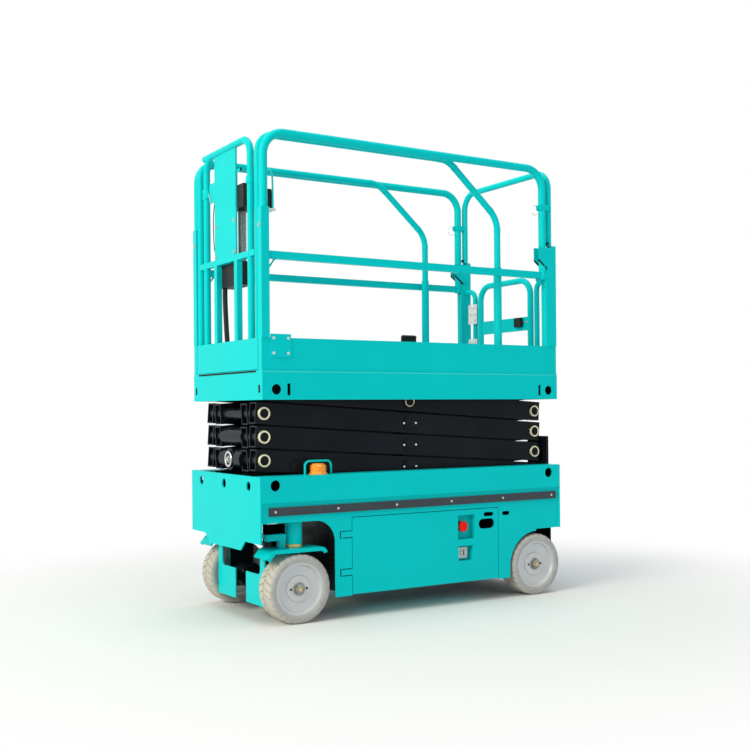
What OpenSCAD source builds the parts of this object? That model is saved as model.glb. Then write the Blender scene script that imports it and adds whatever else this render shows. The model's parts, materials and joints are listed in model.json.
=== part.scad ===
// Self-propelled electric scissor lift: a wheeled chassis, a stack of crossed
// arm pairs and a railed platform with a sliding extension deck.
// Millimetres, +X towards the steered end, +Y left, +Z up, floor at z = 0.

/* [Chassis] */
// Length of the chassis past the end pins of the arms, at each end
chassis_over = 72; // [70:1:90]
// Width over the sides
chassis_w = 760; // [740:1:800]
// Height of the top of the chassis side band
chassis_top = 649; // [640:1:660]
// Height of the bottom of the chassis side band
band_bottom = 535; // [525:1:545]
// Thickness of the chassis plates
plate_t = 8; // [5:0.5:10]
// Height of the bottom edge of the side plates
skirt_bottom = 100; // [80:1:120]
// Height of the top of the front wheel arch
arch_top = 447; // [440:1:470]

/* [Wheels] */
// Tyre radius
tyre_r = 152.5; // [140:0.5:156]
// Tyre width
tyre_w = 114; // [90:1:116]
// Radius of the rim
rim_r = 115; // [100:1:120]
// Distance of the front wheels from the front plate
front_axle_in = 194; // [187:1:212]
// Distance of the rear wheels from the rear plate
rear_axle_in = 153; // [153:1:167]
// Radius of the wheel spindles
spindle_r = 20; // [15:0.5:24]

/* [Steering] */
// Distance of the kingpins from the sides
kingpin_in = 80; // [75:1:85]
// Distance of the kingpins behind the front wheels
kingpin_trail = 6; // [0:0.5:10]
// Radius of the kingpins
kingpin_r = 22; // [16:0.5:26]
// Length of the steering levers
lever_l = 128; // [110:1:140]

/* [Scissor arms] */
// Distance between the end pins of an arm
arm_l = 1540; // [1500:1:1550]
// Depth of the arm tubes
arm_d = 95; // [80:1:97]
// Width of the arm tubes
arm_w = 65; // [50:1:66]
// Wall of the arm tubes
arm_wall = 6; // [4:0.5:10]
// Gap between arms of one side, one above the other, when lowered
arm_gap = 9; // [7:0.5:13]
// Height of the lowest pins
level_0 = 610; // [606:1:612]
// Radius of the arm pins
pin_r = 20; // [15:0.5:24]
// Distance of the outer arms from the chassis sides
outer_in = 148; // [144:1:150]
// Distance between the outer and the inner arms
arm_step = 86; // [84:0.5:90]
// Radius of the slide rollers
roller_r = 36; // [30:0.5:38]

/* [Lift cylinder] */
// Radius of the cylinder barrel
barrel_r = 44; // [40:1:48]
// Radius of the cylinder rod
rod_r = 24; // [22:1:28]
// Radius of the cylinder pins
cylinder_pin_r = 18; // [14:0.5:20]

/* [Platform] */
// Length of the platform past the end pins of the arms, at each end
platform_over = 58; // [54:1:70]
// Distance of the platform's bottom edge below the top arm pins
platform_drop = 45; // [41:1:48]
// Height of the platform side plates
platform_h = 121; // [117:1:123]
// Height of the toe boards above the platform side plates
toe_h = 148; // [98:1:198]
// Thickness of the platform side plates
skirt_t = 8; // [5:0.5:10]
// Thickness of the deck plates
deck_t = 6; // [4:0.5:8]
// Height of the guard rails above the platform side plates
rail_h = 1060; // [1000:1:1100]
// Height of the middle of the mid rails above the platform side plates
mid_rail_h = 506; // [478:1:538]
// Radius of the guard rail tubes
rail_r = 19; // [16:0.5:22]
// Bend radius of the guard rail corners
rail_bend = 100; // [60:1:140]

/* [Doors] */
// Distance of the doors from the front plate
door_front_in = 460; // [452:1:472]
// Distance of the doors from the rear plate
door_rear_in = 395; // [392:1:402]
// Top of the doors
door_top = 450; // [440:1:460]
// Bottom of the doors
door_bottom = 105; // [102:1:120]
// Thickness of the door panels
door_t = 8; // [5:0.5:10]

/* [Fits] */
// Radial clearance of pins in their bores
pin_gap = 0.05; // [0.02:0.01:0.1]
// Gap between faces that slide
slide_gap = 0.3; // [0.3:0.05:0.5]
// Gap around doors
door_gap = 3; // [2:0.5:4]

/* [Hidden] */
$fn = 64;

// Colours
teal = [0.0, 0.73, 0.72];
gloss_black = [0.05, 0.05, 0.06];
zinc = [0.75, 0.74, 0.68];
tyre_grey = [0.72, 0.71, 0.68];
rim_grey = [0.78, 0.79, 0.80];
strip_grey = [0.30, 0.31, 0.32];
amber = [0.95, 0.60, 0.10];
red = [0.85, 0.08, 0.06];
matte_black = [0.09, 0.09, 0.09];

// Chassis planes
half_l = arm_l / 2 + chassis_over;
half_w = chassis_w / 2;
side_y = half_w - plate_t;
inner_side = side_y - plate_t;
floor_top = level_0 - 80;
floor_bottom = floor_top - 10;
front_axle_x = half_l - front_axle_in;
rear_axle_x = half_l - rear_axle_in;
kingpin_x = front_axle_x - kingpin_trail;
kingpin_y = half_w - kingpin_in;
front_edge_x = front_axle_x - 178;
beam_y = half_w - 240;
axle_plate_y = half_w - 195;
axle_plate_t = 10;
axle_r = 40;
rear_plate_bottom = 2 * tyre_r + 25;
door_front = half_l - door_front_in;
door_rear = half_l - door_rear_in;
hinge_x = door_front + 53;
hinge_y = side_y - 5;
hinge_pin_r = 3;
strap_h = 26;
strap_gap = 4;
hinge_levels = [door_bottom + 88, door_top - 87];
wheel_y = side_y + 2 - tyre_w / 2;
wheel_in = wheel_y - tyre_w / 2;
fender_z = 2 * tyre_r + 20;

// Scissor geometry when lowered
level_pitch = arm_d + arm_gap;
arm_angle = asin(level_pitch / arm_l);
arm_run = arm_l * cos(arm_angle);
pin_x = arm_run / 2;
arm_end = 38;
outer_y = half_w - outer_in;
inner_y = outer_y - arm_step;
plane_gap = arm_step - arm_w;
washer_t = plane_gap - 0.5;
pin_boss_r = 36;
sleeve_r = 32;

// Box between two corners
module block(low, high) {
    translate(low)
        cube(high - low);
}

// Same shape on the left and on the right
module both_sides() {
    children();
    mirror([0, 1, 0])
        children();
}

// Round bar along Y
module bar_y(x, z, r, y0, y1) {
    translate([x, y1, z])
        rotate([90, 0, 0])
            cylinder(r = r, h = y1 - y0);
}

// Round bar along X
module bar_x(y, z, r, x0, x1) {
    translate([x0, y, z])
        rotate([0, 90, 0])
            cylinder(r = r, h = x1 - x0);
}

// Upright round bar
module post(x, y, r, z0, z1) {
    translate([x, y, z0])
        cylinder(r = r, h = z1 - z0);
}

// Plate cut from an outline in X and Z
module side_plate(y0, y1) {
    translate([0, y1, 0])
        rotate([90, 0, 0])
            linear_extrude(height = y1 - y0)
                children();
}

// Round bar between two points
module strut(a, b, r) {
    d = b - a;
    l = norm(d);
    translate(a)
        rotate([0, acos(d[2] / l), atan2(d[1], d[0])])
            cylinder(r = r, h = l);
}

// Chassis

// Outline of a lower side plate: wheel arches at both ends, door opening and hinge notches left out
module lower_side_outline() {
    arch_r = 98;
    rear_r = tyre_r + 15;
    difference() {
        polygon([[half_l - plate_t, band_bottom + plate_t], [half_l - plate_t, arch_top],
            [front_edge_x + arch_r, arch_top], [front_edge_x, arch_top - arch_r],
            [front_edge_x, skirt_bottom], [-rear_axle_x, skirt_bottom],
            [plate_t - half_l, skirt_bottom], [plate_t - half_l, band_bottom + plate_t]]);
        translate([front_edge_x + arch_r, arch_top - arch_r])
            circle(r = arch_r);
        translate([-rear_axle_x, tyre_r])
            circle(r = rear_r);
        translate([-half_l, 0])
            square([rear_axle_in, rear_plate_bottom]);
        translate([-half_l, 0])
            square([rear_axle_in + rear_r, tyre_r]);
        translate([-door_rear - door_gap, skirt_bottom - 1])
            square([door_front + door_rear + 2 * door_gap, door_top + door_gap - skirt_bottom + 1]);
        for (z = hinge_levels)
            translate([door_front, z - strap_gap])
                square([hinge_x - door_front + 12, strap_h + 2 * strap_gap]);
    }
}

// Slots beside the left door, cut through the fixed plate
module slot_cut() {
    side_plate(inner_side - 1, side_y + 1)
        obround(-door_rear - 74, -door_rear - 27, door_top - 30, 10);
}

// Lower side plate with the pins of the door hinge
module lower_side() {
    side_plate(inner_side, side_y)
        lower_side_outline();
    for (z = hinge_levels)
        post(hinge_x, hinge_y, hinge_pin_r, z - 2 * strap_gap, z + strap_h + 2 * strap_gap);
}

module lower_side_left() {
    color(teal)
        difference() {
            lower_side();
            slot_cut();
        }
}

module lower_side_right() {
    color(teal)
        mirror([0, 1, 0])
            lower_side();
}

// Front plate outline in Y and Z, with its low tongue and three holes
module front_plate_outline() {
    low = arch_top - 87;
    tongue = arch_top - 130;
    step_in = half_w - 206;
    step_out = half_w - 160;
    difference() {
        polygon([[-half_w, chassis_top], [-half_w, low], [-step_out, low], [-step_in, tongue],
            [step_in, tongue], [step_out, low], [half_w, low], [half_w, chassis_top]]);
        for (y = [-outer_y - 30, 0, outer_y + 30])
            translate([y, chassis_top - 44])
                circle(r = 21);
    }
}

// Upper band with its flange, the floor and the end plates
module chassis_frame() {
    flange_y = half_w - 88;
    color(teal) {
        difference() {
            both_sides() {
                block([-half_l, side_y, band_bottom], [half_l, half_w, chassis_top]);
                block([-half_l, flange_y, chassis_top - plate_t], [half_l, half_w, chassis_top]);
            }
            for (x = [-pin_x, pin_x])
                bar_y(x, level_0, 24, -half_w - 1, half_w + 1);
        }
        both_sides()
            block([-half_l, inner_side, band_bottom + plate_t], [half_l, side_y, band_bottom + 2 * plate_t]);
        block([-half_l, -inner_side, floor_bottom], [half_l, inner_side, floor_top]);
        translate([half_l - plate_t, 0, 0])
            rotate([90, 0, 90])
                linear_extrude(height = plate_t)
                    front_plate_outline();
        block([-half_l, -half_w, rear_plate_bottom], [plate_t - half_l, half_w, chassis_top]);
    }
}

// Bulkheads, centre box and the upright plates that carry the rear axle
module inner_frame() {
    wall_front = door_front + 11;
    wall_rear = -door_rear - 20;
    axle_low = skirt_bottom + 20;
    bumper_y = half_w - 72;
    bumper_low = 1.5 * tyre_r;
    color(gloss_black) {
        both_sides() {
            difference() {
                block([plate_t - half_l, axle_plate_y, axle_low],
                    [wall_rear, axle_plate_y + axle_plate_t, floor_bottom]);
                bar_y(-rear_axle_x, tyre_r, axle_r + slide_gap,
                    axle_plate_y - 1, axle_plate_y + axle_plate_t + 1);
            }
            block([wall_rear, beam_y - plate_t, skirt_bottom], [wall_front, beam_y, floor_bottom]);
        }
        block([-half_l, -axle_plate_y - axle_plate_t, axle_low],
            [plate_t - half_l, axle_plate_y + axle_plate_t, rear_plate_bottom]);
        block([-half_l, -bumper_y, bumper_low], [plate_t - half_l, bumper_y, rear_plate_bottom]);
        block([door_front + door_gap, -inner_side, skirt_bottom], [wall_front, inner_side, floor_bottom]);
        block([wall_rear, -inner_side, skirt_bottom], [wall_rear + plate_t, inner_side, floor_bottom]);
        block([wall_rear, -beam_y, skirt_bottom], [wall_front, beam_y, skirt_bottom + plate_t]);
    }
}

// Front axle box with the kingpin tubes
module front_axle() {
    box_x = 70;
    box_y = kingpin_y + 45;
    tube_r = 37.5;
    color(teal)
        difference() {
            union() {
                block([kingpin_x - box_x, -box_y, arch_top + 10], [kingpin_x + box_x, box_y, floor_bottom]);
                both_sides()
                    post(kingpin_x, kingpin_y, tube_r, fender_z + 21, floor_bottom);
            }
            both_sides()
                post(kingpin_x, kingpin_y, kingpin_r + pin_gap, fender_z - 25, arch_top + 30);
        }
}

// Pivot lugs for the lowest arms and the tracks under the lower rollers
module scissor_base() {
    lug_in = inner_y + arm_w / 2 + 2;
    lug_out = outer_y + arm_w / 2 + 3;
    color(gloss_black)
        both_sides() {
            for (y = [[lug_in, outer_y - arm_w / 2 - 3], [lug_out, lug_out + 16]])
                difference() {
                    union() {
                        block([-pin_x - 45, y[0], floor_top], [-pin_x + 45, y[1], level_0]);
                        bar_y(-pin_x, level_0, 45, y[0], y[1]);
                    }
                    bar_y(-pin_x, level_0, pin_r + pin_gap, y[0] - 1, y[1] + 1);
                }
            block([-20, outer_y - 27, floor_top],
                [half_l - plate_t, outer_y + 23, level_0 - roller_r - slide_gap]);
        }
}

module rub_strips() {
    color(strip_grey)
        both_sides()
            block([27 - half_l, side_y, band_bottom - 57], [half_l - 43, half_w, band_bottom - 20]);
}

beacon_x = half_l - 306;
beacon_y = half_w - 44;

module beacon() {
    color(amber)
        translate([beacon_x, beacon_y, chassis_top]) {
            cylinder(r = 42, h = 10);
            translate([0, 0, 10])
                cylinder(r = 38, h = 28);
            translate([0, 0, 38])
                cylinder(r1 = 38, r2 = 28, h = 12);
        }
}

// Wire hoop over the beacon
module beacon_guard() {
    x0 = beacon_x - 66;
    x1 = beacon_x + 66;
    wire_r = 5;
    hoop_z = chassis_top + 60;
    bend = 22;
    color(teal)
        translate([0, beacon_y, 0]) {
            post(x0, 0, wire_r, chassis_top, hoop_z - bend);
            post(x1, 0, wire_r, chassis_top, hoop_z - bend);
            bar_x(0, hoop_z, wire_r, x0 + bend, x1 - bend);
            bend_xz(x0 + bend, 0, hoop_z - bend, bend, wire_r, -1);
            bend_xz(x1 - bend, 0, hoop_z - bend, bend, wire_r, 1);
        }
}

// Rear axle beam and its wheel spindles
module rear_axle() {
    hub_face = wheel_in - 5;
    color(gloss_black) {
        block([-rear_axle_x - 50, -axle_plate_y, tyre_r - 45],
            [-rear_axle_x + 50, axle_plate_y, tyre_r + 45]);
        both_sides() {
            bar_y(-rear_axle_x, tyre_r, axle_r, axle_plate_y - 1, hub_face);
            bar_y(-rear_axle_x, tyre_r, axle_r + 8, axle_plate_y + axle_plate_t, hub_face);
            bar_y(-rear_axle_x, tyre_r, spindle_r, hub_face, side_y + 2);
        }
    }
}

// Wheels

module tyre_at(x, y) {
    shoulder = 14;
    half = tyre_w / 2;
    color(tyre_grey)
        translate([x, y, tyre_r])
            rotate([90, 0, 0])
                rotate_extrude()
                    polygon([[rim_r, -half + 4], [tyre_r - shoulder, -half], [tyre_r - 4, -half + 5],
                        [tyre_r, -half + shoulder], [tyre_r, half - shoulder], [tyre_r - 4, half - 5],
                        [tyre_r - shoulder, half], [rim_r, half - 4]]);
}

// Dished rim with its hub; the dish opens outwards
module rim_at(x, y, outward) {
    half = tyre_w / 2;
    color(rim_grey)
        translate([x, y, tyre_r])
            rotate([-90 * outward, 0, 0])
                rotate_extrude()
                    polygon([[spindle_r + pin_gap, -half], [60, -half],
                        [60, -half + 20], [rim_r - 20, -half + 20],
                        [rim_r - 14, -half + 4], [rim_r, -half + 4], [rim_r, half - 4], [rim_r - 7, half - 4],
                        [rim_r - 14, half - 20], [60, half - 23],
                        [56, half - 16], [spindle_r + pin_gap, half - 16]]);
}

// Steering

lever_bottom = fender_z + 39;
lever_h = 28;

// Points along an arc about a centre, from one angle to another
function arc_points(x, z, r, from, to) =
    [for (i = [0:6]) let (a = from + (to - from) * i / 6) [x + r * cos(a), z + r * sin(a)]];

// Fender over the wheel: one plate, bent down at both ends
module fender() {
    bend = 34;
    t = 6;
    z = fender_z + t - bend;
    rear = front_axle_x - 105;
    front = front_axle_x + 112;
    side_plate(wheel_in - 24, side_y)
        polygon(concat(arc_points(rear, z, bend, 165, 90), arc_points(front, z, bend, 90, 40),
            arc_points(front, z, bend - t, 40, 90), arc_points(rear, z, bend - t, 90, 165)));
}

// Steered knuckle on the left: kingpin, fork over the tyre, spindle and drive motor
module knuckle_shape() {
    fork_y = wheel_in - 30;
    top_y = wheel_in - 24;
    guard_x = front_axle_x + 108;
    guard_t = 6;
    guard_in = wheel_in * 0.22;
    step_y = wheel_in - 55;
    step_z = tyre_r + 52;
    corner = 20;
    post(kingpin_x, kingpin_y, kingpin_r, fender_z, arch_top + 20);
    fender();
    block([front_axle_x - 60, fork_y, tyre_r - 62], [front_axle_x + 60, wheel_in - 6, fender_z]);
    post(kingpin_x, kingpin_y, 36, fender_z, fender_z + 20);
    bar_y(front_axle_x, tyre_r, 55, wheel_in - 140, fork_y + 2);
    bar_y(front_axle_x, tyre_r, spindle_r, wheel_in - 7, side_y + 2);
    // Guard plate in front of the motor, with a round inner corner
    translate([guard_x, 0, 0])
        rotate([90, 0, 90])
            linear_extrude(height = guard_t)
                polygon(concat([[guard_in, tyre_r - 87], [wheel_in - 8, tyre_r - 87],
                    [wheel_in - 8, fender_z - 25], [step_y, fender_z - 25]],
                    arc_points(step_y - corner, step_z + corner, corner, 0, -90), [[guard_in, step_z]]));
    block([front_axle_x + 52, top_y, tyre_r - 32], [guard_x + guard_t, wheel_in - 8, tyre_r + 28]);
    // Steering lever on its block, with the pin of the tie rod under it
    block([kingpin_x + 48, kingpin_y - 14, fender_z], [kingpin_x + 78, kingpin_y + 14, lever_bottom + 1]);
    block([kingpin_x + 44, kingpin_y - 14, lever_bottom],
        [kingpin_x + lever_l, kingpin_y + 14, lever_bottom + lever_h]);
    post(kingpin_x + lever_l, kingpin_y, 14, lever_bottom, lever_bottom + lever_h);
    post(kingpin_x + lever_l, kingpin_y, 9, lever_bottom - 27, lever_bottom + 1);
}

module knuckle_left() {
    color(teal)
        knuckle_shape();
}

// The right lever points the same way, so that the tie rod keeps its length
module knuckle_right() {
    color(teal)
        mirror([0, 1, 0])
            knuckle_shape();
}

module tie_rod() {
    rod_r = 10;
    eye_h = 11;
    z = lever_bottom - eye_h - 3;
    x = kingpin_x + lever_l;
    color(gloss_black)
        difference() {
            union() {
                bar_y(x, z, rod_r, -kingpin_y, kingpin_y);
                both_sides()
                    post(x, kingpin_y, 18, z - eye_h, z + eye_h);
            }
            both_sides()
                post(x, kingpin_y, 9 + pin_gap, z - 2 * eye_h, z + 2 * eye_h);
        }
}

// Doors

stop_x = [141 - door_rear, 242 - door_rear];
stop_z = [door_top - 141, door_top - 25];
key_x = [154 - door_rear, 239 - door_rear];
key_z = [door_top - 244, door_top - 173];
pocket_d = 40;
pocket_t = 3;
battery_out = half_w - 70;

// Sunk pocket behind the door panel: outer box, or the hollow in it
module pocket(x, z, hollow) {
    t = hollow ? 0 : pocket_t;
    block([x[0] - t, side_y - pocket_d - t, z[0] - t],
        [x[1] + t, hollow ? side_y + 1 : side_y - 1, z[1] + t]);
}

// Swing-out tray with its outer panel, on the left
module door_shape(controls) {
    tray_in = half_w - 225;
    tray_x = [47 - door_rear, door_front - 52];
    difference() {
        union() {
            block([-door_rear, side_y - door_t, door_bottom], [door_front, side_y, door_top]);
            // Tray floor and its back lip
            block([tray_x[0], tray_in, door_bottom], [tray_x[1], side_y - door_t, door_bottom + 6]);
            block([tray_x[0], tray_in, door_bottom], [tray_x[1], tray_in + 6, door_bottom + 60]);
            // Hinge straps in the plane of the panel
            for (z = hinge_levels) {
                block([door_front - 1, side_y - door_t, z], [hinge_x, side_y, z + strap_h]);
                post(hinge_x, hinge_y, 5, z, z + strap_h);
            }
            if (controls) {
                pocket(stop_x, stop_z, false);
                pocket(key_x, key_z, false);
            }
        }
        post(hinge_x, hinge_y, hinge_pin_r + pin_gap, door_bottom, door_top);
        if (controls) {
            pocket(stop_x, stop_z, true);
            pocket(key_x, key_z, true);
            side_plate(side_y - 20, side_y + 1) {
                obround(21 - door_rear, 118 - door_rear, door_top - 74, 24);
                obround(26 - door_rear, 87 - door_rear, door_top - 29, 10);
            }
        }
    }
}

// Slot outline with round ends
module obround(x0, x1, z, r) {
    translate([x0 + r, z])
        circle(r = r);
    translate([x1 - r, z])
        circle(r = r);
    translate([x0 + r, z - r])
        square([x1 - x0 - 2 * r, 2 * r]);
}

module door_left() {
    color(teal)
        door_shape(true);
}

module door_right() {
    color(teal)
        mirror([0, 1, 0])
            door_shape(false);
}

// Battery block on a door tray
module battery_shape() {
    block([67 - door_rear, half_w - 210, door_bottom + 6 + slide_gap],
        [door_front - 82, battery_out, door_top - 60]);
}

module battery_left() {
    color(matte_black)
        battery_shape();
}

module battery_right() {
    color(matte_black)
        mirror([0, 1, 0])
            battery_shape();
}

// Stop button and key switch in the pockets of the left door
module ground_controls() {
    button = [205 - door_rear, door_top - 81];
    key = [197 - door_rear, door_top - 208];
    back = side_y - pocket_d;
    color(red) {
        bar_y(button[0], button[1], 14, back, side_y - 12);
        bar_y(button[0], button[1], 21, side_y - 12, side_y - 1);
    }
    color(matte_black) {
        block([key[0] - 30, back, key[1] - 28], [key[0] + 26, back + 14, key[1] + 26]);
        bar_y(key[0], key[1], 13, back + 13, back + 26);
    }
}

// Scissor arms

// Places an arm pair of stage k: outer arms rise to the front, inner arms rise to the rear
module at_arm(k, rise) {
    translate([0, 0, level_0 + (k - 0.5) * level_pitch])
        rotate([0, -rise * arm_angle, 0])
            children();
}

// One open-ended arm tube about its own middle, with sleeves at its three pins;
// a round end turns inside the chassis or the platform
module arm_tube(y, round_rear, round_front) {
    rear = arm_l / 2 + (round_rear ? 0 : arm_end);
    front = arm_l / 2 + (round_front ? 0 : arm_end);
    difference() {
        union() {
            block([-rear, y - arm_w / 2, -arm_d / 2], [front, y + arm_w / 2, arm_d / 2]);
            if (round_rear)
                bar_y(-rear, 0, arm_d / 2, y - arm_w / 2, y + arm_w / 2);
            if (round_front)
                bar_y(front, 0, arm_d / 2, y - arm_w / 2, y + arm_w / 2);
        }
        block([-rear - arm_d, y - arm_w / 2 + arm_wall, -arm_d / 2 + arm_wall],
            [front + arm_d, y + arm_w / 2 - arm_wall, arm_d / 2 - arm_wall]);
    }
    for (x = [-arm_l / 2, 0, arm_l / 2])
        bar_y(x, 0, sleeve_r, y - arm_w / 2 + 1, y + arm_w / 2 - 1);
}

ring_t = 8;
ring_r = 28;
inner_face = inner_y - arm_w / 2;
outer_face = outer_y + arm_w / 2;

// Outer arm pair: the through pins are fixed in it, with a round spacer between the inner arms
module outer_pair(k, front_spacer_r, rear_spacer_r) {
    at_arm(k, 1) {
        both_sides() {
            arm_tube(outer_y, k == 1, k == 4);
            for (x = [k > 1 ? -arm_l / 2 : 0, 0, arm_l / 2])
                bar_y(x, 0, pin_boss_r, outer_y - arm_w / 2 - washer_t, outer_y - arm_w / 2 + 1);
            bar_y(0, 0, pin_r, inner_face, outer_y);
            // Cap on the middle pin
            bar_y(0, 0, 34, outer_face - 1, outer_face + 6);
            if (k > 1)
                bar_y(-arm_l / 2, 0, ring_r, outer_face - 1, outer_face + ring_t);
            if (k < 4)
                bar_y(arm_l / 2, 0, ring_r, outer_face - 1, outer_face + ring_t);
        }
        if (k < 4)
            through_pin(arm_l / 2, front_spacer_r);
        if (k > 1)
            through_pin(-arm_l / 2, rear_spacer_r);
    }
}

module through_pin(x, spacer_r) {
    bar_y(x, 0, pin_r, -outer_y, outer_y);
    bar_y(x, 0, spacer_r, -inner_face + 0.5, inner_face - 0.5);
}

front_spacers = [50, 42, 28, 28];
cross_r = 20;
cross_front = arm_l / 2 - 130;
cross_rear = arm_l / 2 - 58;

// Inner arm pair, tied by cross tubes and bored for the pins of the outer arms
module inner_pair(k) {
    front_bore = k > 1;
    rear_bore = k < 4;
    at_arm(k, -1) {
        difference() {
            both_sides()
                arm_tube(inner_y, k == 4, false);
            bar_y(0, 0, pin_r + pin_gap, -outer_y, outer_y);
            if (front_bore)
                bar_y(arm_l / 2, 0, pin_r + pin_gap, -outer_y, outer_y);
            if (rear_bore)
                bar_y(-arm_l / 2, 0, pin_r + pin_gap, -outer_y, outer_y);
        }
        bar_y(cross_front, 0, cross_r, -inner_face - 1, inner_face + 1);
        if (k > 1)
            bar_y(-cross_rear, 0, cross_r, -inner_face - 1, inner_face + 1);
    }
}

module outer_arms_1() {
    color(gloss_black) {
        outer_pair(1, front_spacers[0], sleeve_r);
        // Pivot pin in the chassis lugs
        bar_y(-pin_x, level_0, pin_r, -outer_face - 20, outer_face + 20);
        // Round end plate on the front spacer
        bar_x(0, level_0 + level_pitch, 50, pin_x, pin_x + 44);
    }
}

// Carries the lever that the lift rod pushes
module outer_arms_2() {
    color(gloss_black) {
        outer_pair(2, front_spacers[1], sleeve_r);
        both_sides()
            lift_lever();
    }
}

module outer_arms_3() {
    color(gloss_black)
        outer_pair(3, front_spacers[2], sleeve_r);
}

module outer_arms_4() {
    color(gloss_black) {
        outer_pair(4, sleeve_r, sleeve_r);
        both_sides() {
            bar_y(pin_x, level_0 + 4 * level_pitch, pin_r, outer_y, outer_face + 50);
            bar_y(pin_x, level_0 + 4 * level_pitch, roller_r, outer_face + 12, outer_face + 50);
        }
    }
}

// Carries the base pin of the lift cylinder and the lower rollers
module inner_arms_1() {
    color(gloss_black) {
        inner_pair(1);
        bar_y(barrel_base[0], barrel_base[2], cylinder_pin_r, -inner_face - 1, inner_face + 1);
        both_sides() {
            bar_y(pin_x, level_0, pin_r, inner_y, outer_y + 20);
            bar_y(pin_x, level_0, roller_r, outer_y - 24, outer_y + 20);
        }
    }
}

module inner_arms_2() {
    color(gloss_black)
        inner_pair(2);
}

module inner_arms_3() {
    color(gloss_black)
        inner_pair(3);
}

// Carries the pivot pins of the platform
module inner_arms_4() {
    color(gloss_black) {
        inner_pair(4);
        both_sides()
            bar_y(-pin_x, level_0 + 4 * level_pitch, pin_r, inner_y, inner_y + arm_w / 2 + 20);
    }
}

// Lift cylinder

// Base pin along and across the first inner arms, rod eye along and across the second outer arms
base_along = arm_l / 2 - 351;
base_across = 7;
eye_along = 197 - arm_l / 2;
eye_across = 30;
barrel_base = [base_along * cos(arm_angle) + base_across * sin(arm_angle), 0,
    level_0 + level_pitch / 2 - base_along * sin(arm_angle) + base_across * cos(arm_angle)];
rod_eye = [eye_along * cos(arm_angle) - eye_across * sin(arm_angle), 0,
    level_0 + 1.5 * level_pitch + eye_along * sin(arm_angle) + eye_across * cos(arm_angle)];
lift_line = rod_eye - barrel_base;
lift_length = norm(lift_line);
lift_angle = atan2(lift_line[2], -lift_line[0]);
eye_r = 40;
eye_half = 28;
lug_gap = 5;
lug_t = 10;
gland_at = lift_length - 110;

// Draws along the cylinder: local +X runs from the base pin to the rod eye
module along_cylinder() {
    translate(barrel_base)
        rotate([0, lift_angle, 0])
            mirror([1, 0, 0])
                children();
}

module lift_barrel() {
    color(gloss_black)
        along_cylinder()
            difference() {
                union() {
                    bar_x(0, 0, barrel_r, 30, gland_at - 40);
                    bar_x(0, 0, barrel_r - 4, gland_at - 41, gland_at);
                    bar_y(0, 0, barrel_r + 3, 6 - barrel_r, barrel_r - 6);
                }
                bar_y(0, 0, cylinder_pin_r + pin_gap, -2 * barrel_r, 2 * barrel_r);
                bar_x(0, 0, rod_r + pin_gap, 120, gland_at + 1);
            }
}

module lift_rod() {
    color(zinc)
        along_cylinder()
            difference() {
                union() {
                    bar_x(0, 0, rod_r, 130, lift_length - eye_r + 8);
                    bar_y(lift_length, 0, eye_r, -eye_half, eye_half);
                }
                bar_y(lift_length, 0, cylinder_pin_r + pin_gap, -2 * eye_half, 2 * eye_half);
            }
}

// Plate from the rear pin of the second outer arms to the rod eye
module lift_lever() {
    y0 = eye_half + lug_gap;
    pin = [-pin_x, level_0 + level_pitch];
    d = [rod_eye[0] - pin[0], rod_eye[2] - pin[1]];
    side_plate(y0, y0 + lug_t)
        translate(pin)
            rotate(atan2(d[1], d[0])) {
                translate([0, -32])
                    square([norm(d), 64]);
                translate([norm(d), 0])
                    circle(r = 32);
                circle(r = 40);
            }
    bar_y(rod_eye[0], rod_eye[2], cylinder_pin_r, y0 + lug_t - 1, y0 + lug_t + 4);
}

// Platform

half_p = arm_l / 2 + platform_over;
level_4 = level_0 + 4 * level_pitch;
platform_bottom = level_4 - platform_drop;
platform_seam = platform_bottom + platform_h;
toe_top = platform_seam + toe_h;
mid_rail_z = platform_seam + mid_rail_h;
deck_bottom = platform_seam + 3;
deck_top = deck_bottom + deck_t;
toe_out = half_w - 5;
toe_in = toe_out - skirt_t;

module platform_deck() {
    hole_r = 23;
    track_bottom = level_4 + roller_r + slide_gap;
    color(teal) {
        difference() {
            union() {
                both_sides()
                    block([-half_p, half_w - skirt_t, platform_bottom], [half_p, half_w, platform_seam]);
                for (x = [-half_p, half_p - skirt_t])
                    block([x, -half_w, platform_bottom], [x + skirt_t, half_w, platform_seam]);
            }
            for (x = [56 - half_p, half_p - 68])
                bar_y(x, level_4, hole_r, -half_w - 1, half_w + 1);
            for (x = [114 - half_p, half_p - 128])
                side_plate(-half_w - 1, half_w + 1)
                    translate([x - 8, level_4 - 26])
                        square([16, 52]);
        }
        block([-half_p, -half_w + 1, platform_seam - 1], [half_p, half_w - 1, deck_top]);
        both_sides()
            block([-half_p, toe_in, platform_seam], [half_p, toe_out, toe_top]);
    }
    color(gloss_black)
        both_sides() {
            difference() {
                block([-pin_x - 40, inner_y + arm_w / 2 + 2, level_4 - 38],
                    [-pin_x + 40, outer_y - arm_w / 2 - 3, deck_bottom]);
                bar_y(-pin_x, level_4, pin_r + pin_gap, 0, outer_y);
            }
            block([-20, outer_face + 9, track_bottom], [half_p - skirt_t, outer_face + 54, deck_bottom]);
        }
}

rail_z = platform_seam + rail_h - rail_r;
rail_y = half_w - rail_r;
rail_in = rail_y - rail_r;
rail_front = half_p - rail_r;
rail_rear = 73 - half_p;
sleeve_top = mid_rail_z + 205;
cheek_top = mid_rail_z + 151;
notch_z = mid_rail_z + 82;

// Bend of a tube in the XZ plane about a centre, from one angle to another
module arc_xz(x, y, z, bend, r, from, to) {
    translate([x, y, z])
        rotate([90, 0, 0])
            rotate([0, 0, from])
                rotate_extrude(angle = to - from)
                    translate([bend, 0])
                        circle(r = r);
}

// Quarter bend of a tube, from along X round to along -Z
module bend_xz(x, y, z, bend, r, towards) {
    arc_xz(x, y, z, bend, r, towards > 0 ? 0 : 90, towards > 0 ? 90 : 180);
}

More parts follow.
